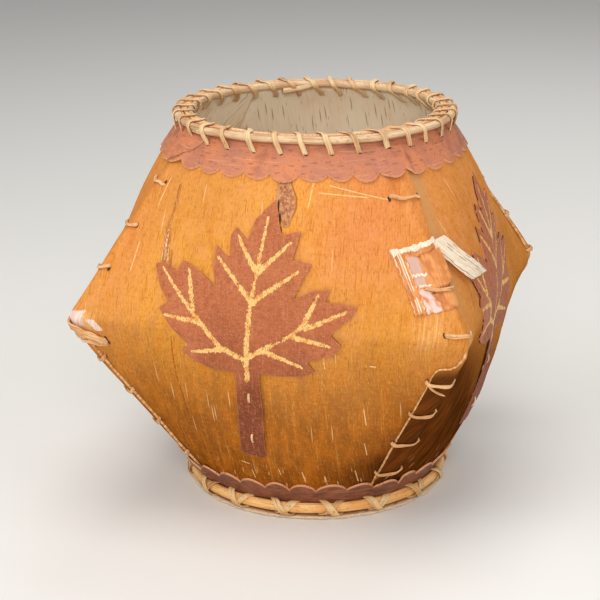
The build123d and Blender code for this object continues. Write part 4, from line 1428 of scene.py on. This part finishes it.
hole_places = []
for corner in range(4):
    for upper in (True, False):
        end, (anchor, landing) = seam_sides(corner, upper), seam_reach(corner, upper)
        for z in seam_heights(corner, upper):
            for run, lift in ((end * anchor, 0.1), (-end * landing, 0.05)):
                raised = lap_lift * max(0.0, 1 - abs(run) / lap_rise) if run * end > 0 else 0.0
                hole_places.append((beside(corner, z, run), z, lift + raised))
hole_places += [(16.5 / side_length(0, tips[0] - 14), tips[0] - k, 0.15) for k in (12.5, 15.5)]
hole_places = np.array(hole_places)
point, normal, uphill = wall_frame(*hole_places.T)
split_x, split_z = np.array([5.2, 6.9, 8.2, 12.8]), np.array([213.5, 206.5, 200.0, 188.0])
split_points, split_normals, split_uphill = wall_frame(across_side(0, split_x, split_z), split_z, 0.35)
dives = np.concatenate(rim_dives)
outside = np.hypot(dives[:, 0], dives[:, 1]) > low_radius - 1
away = np.angle(np.exp(1j * (np.arctan2(dives[:, 1], dives[:, 0])[:, None] - collar_angle)))
dive_around = collar_around[np.abs(away).argmin(1)]
dive_z = np.where(outside, rim_hole_height - 1.1, rim_hole_height)
over_band = 1.45 + (lap_lift + 0.25) * near_seams(dive_around, dive_z, seam_span)
rim_points, rim_normals, rim_uphill = wall_frame(dive_around, dive_z, np.where(outside, over_band, -2.15))
rim_normals = rim_normals * np.where(outside, 1, -1)[:, None]
print("rim holes", outside.sum(), (~outside).sum())
seam_holes = lenses(
    "seam_holes", np.concatenate([point, split_points, rim_points]),
    np.concatenate([normal, split_normals, rim_normals]), np.concatenate([uphill, split_uphill, rim_uphill]),
    np.r_[np.full(len(point), 1.9), 4.8, 4.4, 3.6, 2.4, np.where(outside, 1.3, 2.2)],
    np.r_[np.full(len(point), 1.0), 0.6, 0.75, 0.6, 0.3, np.where(outside, 1.5, 0.9)],
)

# %% [markdown]
# ## The finishes
# Every finish is calculated from a piece's own flat coordinates, with the grain of the bark running
# up the wall. Noise stretched along the grain gives streaks, stretched cells give the bark's short
# dashes, and the attributes say where a sheet is rubbed, darkened, torn or cut.

# %% Wall bark
f = Finish("golden_bark")
place = f.grain()
slow, middle = f.noise(place, 55, 85, 2.0, 1.0), f.noise(place, 6, 17, 3.0, 5.0)
streak, level = f.noise(place, 0.8, 45, 3.0, 9.0), f.noise(place, 26, 1.1, 3.0, 13.0)
fine, grains = f.noise(place, 1.2, 1.9, 3.0, 17.0), f.noise(place, 0.7, 2.6, 2.0, 19.0)
weave = f.noise(place, 4.5, 0.55, 2.0, 61.0)
long_dash = f.flecks(place, 1.7, 22, 0.2, 21.0, 0.1, 0.26)
short_dash = f.flecks(place, 1.3, 7, 0.22, 23.0, 0.1, 0.26)
pale_dash = f.flecks(place, 1.8, 30, 0.035, 27.0)
gold_and_painted_light, red, painted_shade_and_dark_tone, worn = (f.field(k) for k in ("gold_and_painted_light", "red", "painted_shade_and_dark_tone", "worn"))
olive_and_painted_shade, scar, knot, bare = (f.field(k) for k in ("olive_and_painted_shade", "scar", "knot", "bare"))
low, front, inside, cut = (f.field(k) for k in ("low", "front", "inside", "cut"))

# The lower walls' brown is partly the bark's own tone and partly painted shade.
brown_and_painted_shade = f.mix((118, 57, 1), (160, 87, 2), f.step(middle, 0.35, 0.65))
haze = f.step(f.noise(place, 9, 12, 4.0, 67.0), 0.46, 0.72) * f.step(low, 0.5, 0.0)
# Painted shade: where the dark spots lie, the bark turns a deep brown.
shadow = f.step(painted_shade_and_dark_tone + (middle - 0.5) * 0.2 + (streak - 0.5) * 0.12, 0.05, 0.95)
deep = f.mix((62, 29, 8), (106, 55, 19), f.step(middle * 0.5 + streak * 0.5, 0.38, 0.64))
rubbed = f.step(worn + (streak - 0.5) * 0.9 + (fine - 0.5) * 0.4, 0.3, 0.75)
tint = f.mix((208, 137, 64), (222, 152, 80), f.step(slow, 0.32, 0.68))
# These coats hold painted light (the golden one) and painted shade (the brown and the deep ones).
tint = f.paint(tint, [
    ((240, 170, 62), gold_and_painted_light * f.step(middle, 0.25, 0.6) * 0.75),
    ((214, 130, 76), red * f.step(slow, 0.2, 0.55)),
    (brown_and_painted_shade, low * 0.94),
    ((196, 110, 40), f.step(middle, 0.52, 0.72) * 0.36),
    ((240, 172, 86), f.step(streak, 0.56, 0.72) * 0.26),
    ((176, 96, 34), f.step(level, 0.54, 0.72) * f.step(low, 0.0, 0.8, 0.16, 0.6)),
    ((240, 174, 92), f.step(grains, 0.56, 0.72) * 0.34),
    ((156, 80, 22), f.step(grains, 0.46, 0.28) * 0.45),
    ((160, 82, 20), f.step(weave, 0.54, 0.72) * f.step(low, 0.0, 0.7, 0.07, 0.3)),
    ((246, 184, 100), f.step(weave, 0.46, 0.3) * f.step(low, 0.0, 0.7, 0.12, 0.1)),
    ((230, 158, 106), haze * 0.28),
    ((198, 146, 96), olive_and_painted_shade * f.step(streak, 0.25, 0.55) * 0.95),
    ((158, 84, 32), long_dash * 0.36),
    ((166, 88, 34), short_dash * 0.28),
    ((248, 204, 148), pale_dash * 0.5),
    (deep, shadow * 0.92),
    ((240, 190, 128), rubbed * 0.6),
])

# %% [markdown]
# The front wall has marks of its own: pale scratches, dark splits, a rough scar, a blotch of inner
# bark and a stripped tip. Each is a mask, broken up by the fine noise so that no edge is drawn.

# %% Marks of the front wall
pale_lines = [
    ((25, 229), (23, 213), 0.5), ((-75, 222), (-79, 205), 0.5), ((65, 123), (70, 122.3), 0.7),
    ((28, 222), (60, 219), 0.45), ((34, 226), (72, 217), 0.4), ((-17, 38), (-16, 29), 0.5),
    ((2, 42), (3, 35), 0.45), ((17, 40), (18, 30), 0.5), ((31, 37), (32, 27), 0.5),
    ((51, 40), (52, 28), 0.5), ((-24, 43), (-17, 42), 0.7), ((60, 92), (61, 78), 0.5),
    ((37, 133), (38, 118), 0.4), ((59, 64), (60, 52), 0.45), ((-86, 186), (-89, 168), 0.45),
]
split_line, split_width = [(-58.3, 133), (-57.8, 113), (-57.1, 99), (-55, 85), (-54.9, 75)], 0.4
dark_lines = [((61, 120), (64, 121.4)), *zip(split_line, split_line[1:])]
marks = f.scratches(place, pale_lines) * front * f.step(fine, 0.3, 0.46)
splits = f.scratches(place, [(*ends, split_width) for ends in dark_lines]) * front * f.step(fine, 0.36, 0.5)
ticks = f.flecks(place, 2.6, 15, 0.3, 33.0, 0.1, 0.24) * f.step(low, 0.86, 0.97)
scar_edge = scar + (streak - 0.5) * 1.6 + (fine - 0.5) * 0.35
rough_scar = f.step(scar_edge, 0.66, 0.82)
scar_tint = f.mix((214, 140, 100), (244, 198, 152), f.step(fine, 0.42, 0.6))
blots, pits = f.noise(place, 2.6, 3.4, 3.0, 37.0), f.flecks(place, 2.6, 3.4, 0.26, 31.0, 0.1, 0.3)
knotty = f.step(knot + (fine - 0.5) * 0.5 + (blots - 0.5) * 0.5, 0.28, 0.6)
knot_tint = f.mix((160, 98, 78), (194, 144, 106), f.step(blots, 0.42, 0.6))
knot_tint = f.paint(knot_tint, [
    ((224, 182, 142), f.step(fine, 0.54, 0.68) * 0.6), ((108, 56, 34), pits * 0.7),
])
knot_edge = f.step(knot, 0.2, 0.32) * f.step(knot, 0.46, 0.34) * f.step(middle, 0.4, 0.6)
stripped = f.step(bare + (fine - 0.5) * 0.35, 0.35, 0.45)
bare_tint = f.mix((222, 192, 192), (246, 224, 200), f.step(streak, 0.42, 0.6))
tint = f.paint(tint, [
    ((250, 208, 150), marks * 0.75), ((112, 48, 14), splits * 0.8), ((236, 178, 118), ticks * 0.6),
    ((134, 66, 20), f.step(scar_edge, 0.42, 0.56) * 0.5), (scar_tint, rough_scar * 0.9),
    (knot_tint, knotty * 0.85), ((118, 62, 30), knot_edge * 0.6), (bare_tint, stripped * 0.9),
])

# %% [markdown]
# The sheet's inner side is pale with brown dashes, and its cut edge shows the layers. Both replace
# the outer colour where their attribute is 1. The relief repeats the marks, so that light finds them.

# %% Inner side, cut edges and relief
lenticel = f.flecks(place, 2.0, 34, 0.22, 41.0, 0.1, 0.26)
small_lenticel = f.flecks(place, 1.6, 13, 0.16, 43.0, 0.08, 0.24)
within = f.paint(f.mix((252, 234, 206), (255, 244, 222), f.step(slow, 0.35, 0.65)), [
    ((240, 212, 176), f.step(middle, 0.56, 0.76) * 0.35),
    ((220, 184, 146), f.step(streak, 0.56, 0.7) * 0.35),
    ((150, 108, 80), lenticel * 0.7), ((170, 128, 96), small_lenticel * 0.5),
])
layered = f.mix((206, 146, 88), (240, 196, 140), f.step(fine, 0.4, 0.6))
tint = f.paint(tint, [(within, inside), (layered, cut)])
relief = streak * 0.5 + middle * 0.8 + fine * 0.22 + grains * 0.3 + long_dash * 0.25 - pale_dash * 0.2
relief = relief + rough_scar * fine * 1.6 + knotty * (fine * 1.8 - pits * 1.2) - stripped * 0.5
gloss = f.step(middle, 0.3, 0.7, 0.36, 0.5) + rough_scar * 0.2 + knotty * 0.2 + inside * 0.14
dress(f.surface(tint, gloss, (relief + weave * 0.1, 0.6, 0.0006), specular=0.0), *walls)

# %% [markdown]
# The bands are the bark's outer side: reddish, spotted and dashed along the strip. Both come from one
# recipe with their own colours, and the pale cut edge shows more on the lower one.

# %% Band bark
def band_finish(name, light, deep, mark, edge_tint, edge_share):
    """Band bark from a light, a deep, a spot and an edge colour."""
    f = Finish(name)
    place = f.grain()
    broad, middle = f.noise(place, 34, 20, 2.0, 2.0), f.noise(place, 4.5, 5.5, 4.0, 6.0)
    fine, streak = f.noise(place, 0.9, 1.4, 3.0, 8.0), f.noise(place, 1.1, 16, 3.0, 11.0)
    level, blotch = f.noise(place, 1.0, 26, 2.0, 21.0), f.noise(place, 9, 13, 3.0, 27.0)
    dashes = f.flecks(place, 2.0, 9, 0.3, 15.0)
    spotted_edge = f.mix(edge_tint, mark, f.step(fine, 0.58, 0.7) * 0.6)
    tint = f.paint(f.mix(deep, light, f.step(broad, 0.32, 0.66)), [
        (deep, f.step(middle, 0.46, 0.7) * 0.75), (light, f.step(streak, 0.52, 0.7) * 0.5),
        (mark, f.step(fine, 0.56, 0.72) * 0.55), (mark, dashes * 0.5),
        (edge_tint, f.step(level, 0.58, 0.7) * 0.35), (mark, f.step(blotch, 0.52, 0.74) * 0.5),
        (edge_tint, f.step(f.field("edge") + (fine - 0.5) * 0.8, 1.0, 0.35) * edge_share),
        (spotted_edge, f.field("cut") * 0.9), ((196, 150, 110), f.field("inside")),
    ])
    relief = middle * 0.9 + fine * 0.35 + streak * 0.5 + dashes * 0.25
    return f.surface(tint, f.step(middle, 0.3, 0.7, 0.44, 0.6), (relief, 0.55, 0.0005), specular=0.15)


top_tints = [(208, 130, 90), (183, 120, 96), (140, 80, 64), (228, 168, 124)]
bottom_tints = [(150, 92, 65), (122, 73, 53), (76, 44, 32), (220, 154, 110)]
dress(band_finish("top_band_bark", *top_tints, 0.3), top_band)
dress(band_finish("bottom_band_bark", *bottom_tints, 0.8), bottom_band)

# %% [markdown]
# A leaf is darker at its stem and left lobe, and its veins are scraped down to the golden layer. Its cut
# rim is painted dark, as the shadow line along its edges. The vein attribute is a distance in half widths,
# so one soft step on it, shaken by noise, scrapes them.

# %% Leaf bark
f = Finish("leaf_bark_finish")
place = f.grain()
broad, middle = f.noise(place, 26, 30, 2.0, 3.0), f.noise(place, 3.4, 4.2, 4.0, 7.0)
fine, streak = f.noise(place, 0.8, 1.0, 3.0, 12.0), f.noise(place, 1.0, 14, 3.0, 16.0)
hatch, skipped = f.noise(place, 0.7, 1.5, 3.0, 24.0), f.noise(place, 5, 5, 2.0, 35.0)
weave, speckle = f.noise(place, 3.0, 0.6, 2.0, 71.0), f.noise(place, 1.1, 1.3, 3.0, 55.0)
across, height_up = (f.node("ShaderNodeSeparateXYZ", {}, {0: place}, k) for k in (0, 1))
drift = broad - 0.5
lobes = f.step(across + drift * 60, -12, -36) * f.step(height_up + drift * 40, 66, 48)
wander = (middle - 0.5) * 0.8 + (hatch - 0.5) * 3.0 + f.step(skipped, 0.58, 0.72) * 0.9
scraped = f.step(f.field("vein") + wander, 1.42, 1.12)
vein_tint = f.mix((242, 198, 124), (224, 158, 82), f.step(middle, 0.46, 0.66))
vein_tint = f.mix(vein_tint, (150, 84, 40), f.step(hatch, 0.56, 0.66) * 0.75)
# The cut rim is mostly dark brown, a painted shadow line along the leaf's edges, with some pale bits of real
# cut.
leaf_cut_and_painted_shadow = f.mix((84, 42, 28), (206, 146, 104), f.step(f.noise(place, 9, 9, 2.0, 77.0), 0.55, 0.62))
tint = f.paint(f.mix((138, 72, 42), (184, 106, 67), f.step(height_up + drift * 90, 20, 105)), [
    ((196, 118, 76), f.step(broad, 0.5, 0.7) * 0.6), ((122, 58, 46), lobes * 0.6),
    ((104, 48, 26), f.step(height_up + drift * 20, 66, 46) * 0.42),
    ((150, 80, 58), f.step(middle, 0.5, 0.72) * 0.5), ((208, 138, 102), f.step(streak, 0.54, 0.7) * 0.35),
    ((120, 58, 44), f.step(fine, 0.52, 0.68) * 0.42), ((222, 156, 124), f.step(speckle, 0.55, 0.72) * 0.3),
    ((208, 142, 100), f.step(f.field("rim"), 0.7, 0.1) * 0.3),
    ((120, 60, 38), f.step(weave, 0.54, 0.7) * 0.3), ((216, 142, 104), f.step(weave, 0.44, 0.3) * 0.25),
    (vein_tint, scraped * 0.95), (leaf_cut_and_painted_shadow, f.field("cut")), ((200, 150, 104), f.field("inside")),
])
relief = middle * 0.9 + fine * 0.4 + streak * 0.35 - scraped * 0.9
gloss = f.step(middle, 0.3, 0.7, 0.46, 0.62)
dress(f.surface(tint, gloss, (relief, 0.6, 0.0005), specular=0.12), *leaves)

# %% [markdown]
# Roots and rods are split wood: fibres run along each, and its colour changes slowly from turn to
# turn. One recipe serves all six, with a seed and three colours each.

# %% Roots and rods
def root_finish(name, seed, light, middle_tint, deep):
    """Split root: fine fibres along it, and slow changes of colour from turn to turn."""
    f = Finish(name)
    place = f.grain()
    fibre, broad = f.noise(place, 0.5, 22, 3.0, seed), f.noise(place, 14, 19, 2.0, seed + 3)
    speck = f.noise(place, 1.4, 3.2, 3.0, seed + 5)
    tint = f.paint(f.mix(middle_tint, light, f.step(broad, 0.36, 0.62)), [
        (deep, f.step(fibre, 0.52, 0.68) * 0.6), (light, f.step(fibre, 0.46, 0.34) * 0.4),
        (deep, f.step(speck, 0.58, 0.72) * 0.5),
    ])
    gloss = f.step(broad, 0.3, 0.7, 0.4, 0.54)
    return f.surface(tint, gloss, (fibre * 1.2 + speck * 0.3, 0.6, 0.0005), specular=0.42)


for name, seed, light, middle_tint, deep, pieces in (
    ("lashing_root", 2.0, (234, 200, 152), (214, 168, 116), (150, 100, 62), rim_lashings),
    ("foot_root", 41.0, (238, 200, 142), (214, 164, 106), (140, 90, 50), foot_lashings),
    ("hoop_rod", 11.0, (228, 196, 154), (204, 160, 116), (148, 102, 68), [outer_rim, inner_rim]),
    ("foot_rod", 17.0, (250, 198, 126), (236, 168, 92), (170, 104, 54), [foot_rim]),
    ("seam_root", 23.0, (236, 186, 132), (212, 154, 98), (146, 92, 54), [*seam_roots, tip_wrap]),
    ("thread_root", 29.0, (242, 204, 152), (216, 168, 116), (120, 74, 46), leaf_threads),
):
    dress(root_finish(name, seed, light, middle_tint, deep), *pieces)
# The holes are not cut: each lens is near black, painted shade inside a hole or split.
hole = Finish("hole")
hole_shade_tint = hole.mix((46, 24, 12), (78, 42, 22), hole.noise(hole.grain(), 1, 1))
dress(hole.surface(hole_shade_tint, 0.8), seam_holes)

# %% [markdown]
# The disc shows its outer skin below and pale torn layers at its edge, where the distance from the
# middle passes the walls. It has no grain of its own, so it reads Object coordinates.

# %% Base disc
pale_from, pale_to = 83.5, 86.0
f = Finish("disc_bark")
place = f.in_millimetres(f.node("ShaderNodeTexCoord", {}, None, "Object"))
broad, fine = f.noise(place, 22, 22, 3.0, 3.0), f.noise(place, 1.2, 1.2, 3.0, 5.0)
rim_tint = f.mix((246, 232, 208), (206, 172, 132), fine)
tint = f.paint(f.mix((196, 146, 98), (226, 188, 144), f.step(broad, 0.36, 0.62)), [
    ((150, 104, 70), f.step(fine, 0.55, 0.7) * 0.6),
    ((120, 78, 54), f.flecks(place, 4, 22, 0.35, 8.0) * 0.6),
    (rim_tint, f.step(f.vector("LENGTH", place, output="Value"), pale_from, pale_to)),
])
dress(f.surface(tint, 0.55, (broad * 0.6 + fine * 0.6, 0.6, 0.0006), specular=0.35), floor_disc)

# %% [markdown]
# The torn patch is orange inner bark under papery white layers. The height field's regions come
# along as attributes, and the fine noise frays their borders.

# %% Torn bark
f = Finish("torn_bark_finish")
place = f.grain()
streak, fine = f.noise(place, 0.6, 16, 3.0, 4.0), f.noise(place, 0.8, 1.0, 3.0, 6.0)
middle = f.noise(place, 4, 6, 3.0, 8.0)
white, pink, grey, cracks_and_painted_shade = (f.field(k) for k in ("white", "pink", "grey", "cracks_and_painted_shade"))
paper = f.mix((242, 227, 206), (222, 192, 158), f.step(streak, 0.45, 0.64))
paper = f.mix(paper, (176, 136, 104), f.step(fine, 0.6, 0.74) * 0.5)
tint = f.paint(f.mix((202, 124, 64), (226, 152, 88), f.step(middle, 0.38, 0.62)), [
    ((164, 90, 42), f.step(streak, 0.54, 0.7) * 0.55),
    ((230, 204, 196), pink * f.step(middle, 0.3, 0.55) * 0.9), ((204, 174, 164), grey * 0.8),
    (paper, f.step(white + (fine - 0.5) * 0.5, 0.32, 0.6)),
    # The dark coat is painted shade in the patch's recesses, and grey lines on the peeled strip.
    ((108, 78, 60), f.step(cracks_and_painted_shade + (fine - 0.5) * 0.4, 0.4, 0.8) * 0.85),
    ((244, 220, 188), f.field("cut") * 0.8), ((226, 176, 140), f.field("inside")),
])
relief, gloss = streak * 0.9 + fine * 0.5 + middle * 0.5, f.step(middle, 0.3, 0.7, 0.48, 0.66)
dress(f.surface(tint, gloss, (relief, 0.7, 0.0005), specular=0.35), torn_layers_piece, strip_piece)

# %% [markdown]
# ## Floor and light
# A pale seamless floor and five soft lamps, as in a small studio.

# %% Floor and lamps
floor_half, lamp_tint, basket_middle = 7.0, (1.0, 0.98, 0.95), Vector((0, 0, 0.12))
floor_mesh = bpy.data.meshes.new("floor")
floor_corners = [(x * floor_half, y * floor_half, 0) for x, y in ((-1, -1), (1, -1), (1, 1), (-1, 1))]
floor_mesh.from_pydata(floor_corners, [], [(0, 1, 2, 3)])
floor = added("floor", floor_mesh)
f = Finish("pale_floor")
shade = f.node("ShaderNodeTexNoise", {}, {"Scale": 3.0, "Detail": 1.0})
dress(f.surface(f.mix((236, 235, 232), (230, 229, 226), shade), 0.7, specular=0.2), floor)
world = bpy.data.worlds.new("studio")
world.use_nodes = True
bpy.context.scene.world = world
sky = world.node_tree.nodes["Background"]
sky.inputs["Color"].default_value = (1.0, 1.0, 1.0, 1.0)
sky.inputs["Strength"].default_value = 0.3

for name, angle, height, away, size, power in (
    ("key", -36, 46, 1.6, 0.9, 8.5), ("front", 14, 25, 1.7, 0.6, 11.5), ("side", 75, 35, 1.8, 1.0, 5),
    ("top", -10, 82, 1.5, 0.8, 6), ("back", 170, 50, 1.7, 1.0, 7),
):
    data = bpy.data.lights.new(name, "AREA")
    data.shape, data.size, data.energy, data.color = "SQUARE", size, power, lamp_tint
    a, e = radians(angle), radians(height)
    light = added(name, data)
    light.location = Vector((sin(a) * cos(e), -cos(a) * cos(e), sin(e))) * away + basket_middle
    light.rotation_euler = (light.location - basket_middle).to_track_quat("Z", "Y").to_euler()
    print("lamp", name, power, "W")
bpy.context.scene.view_settings.view_transform = "Standard"
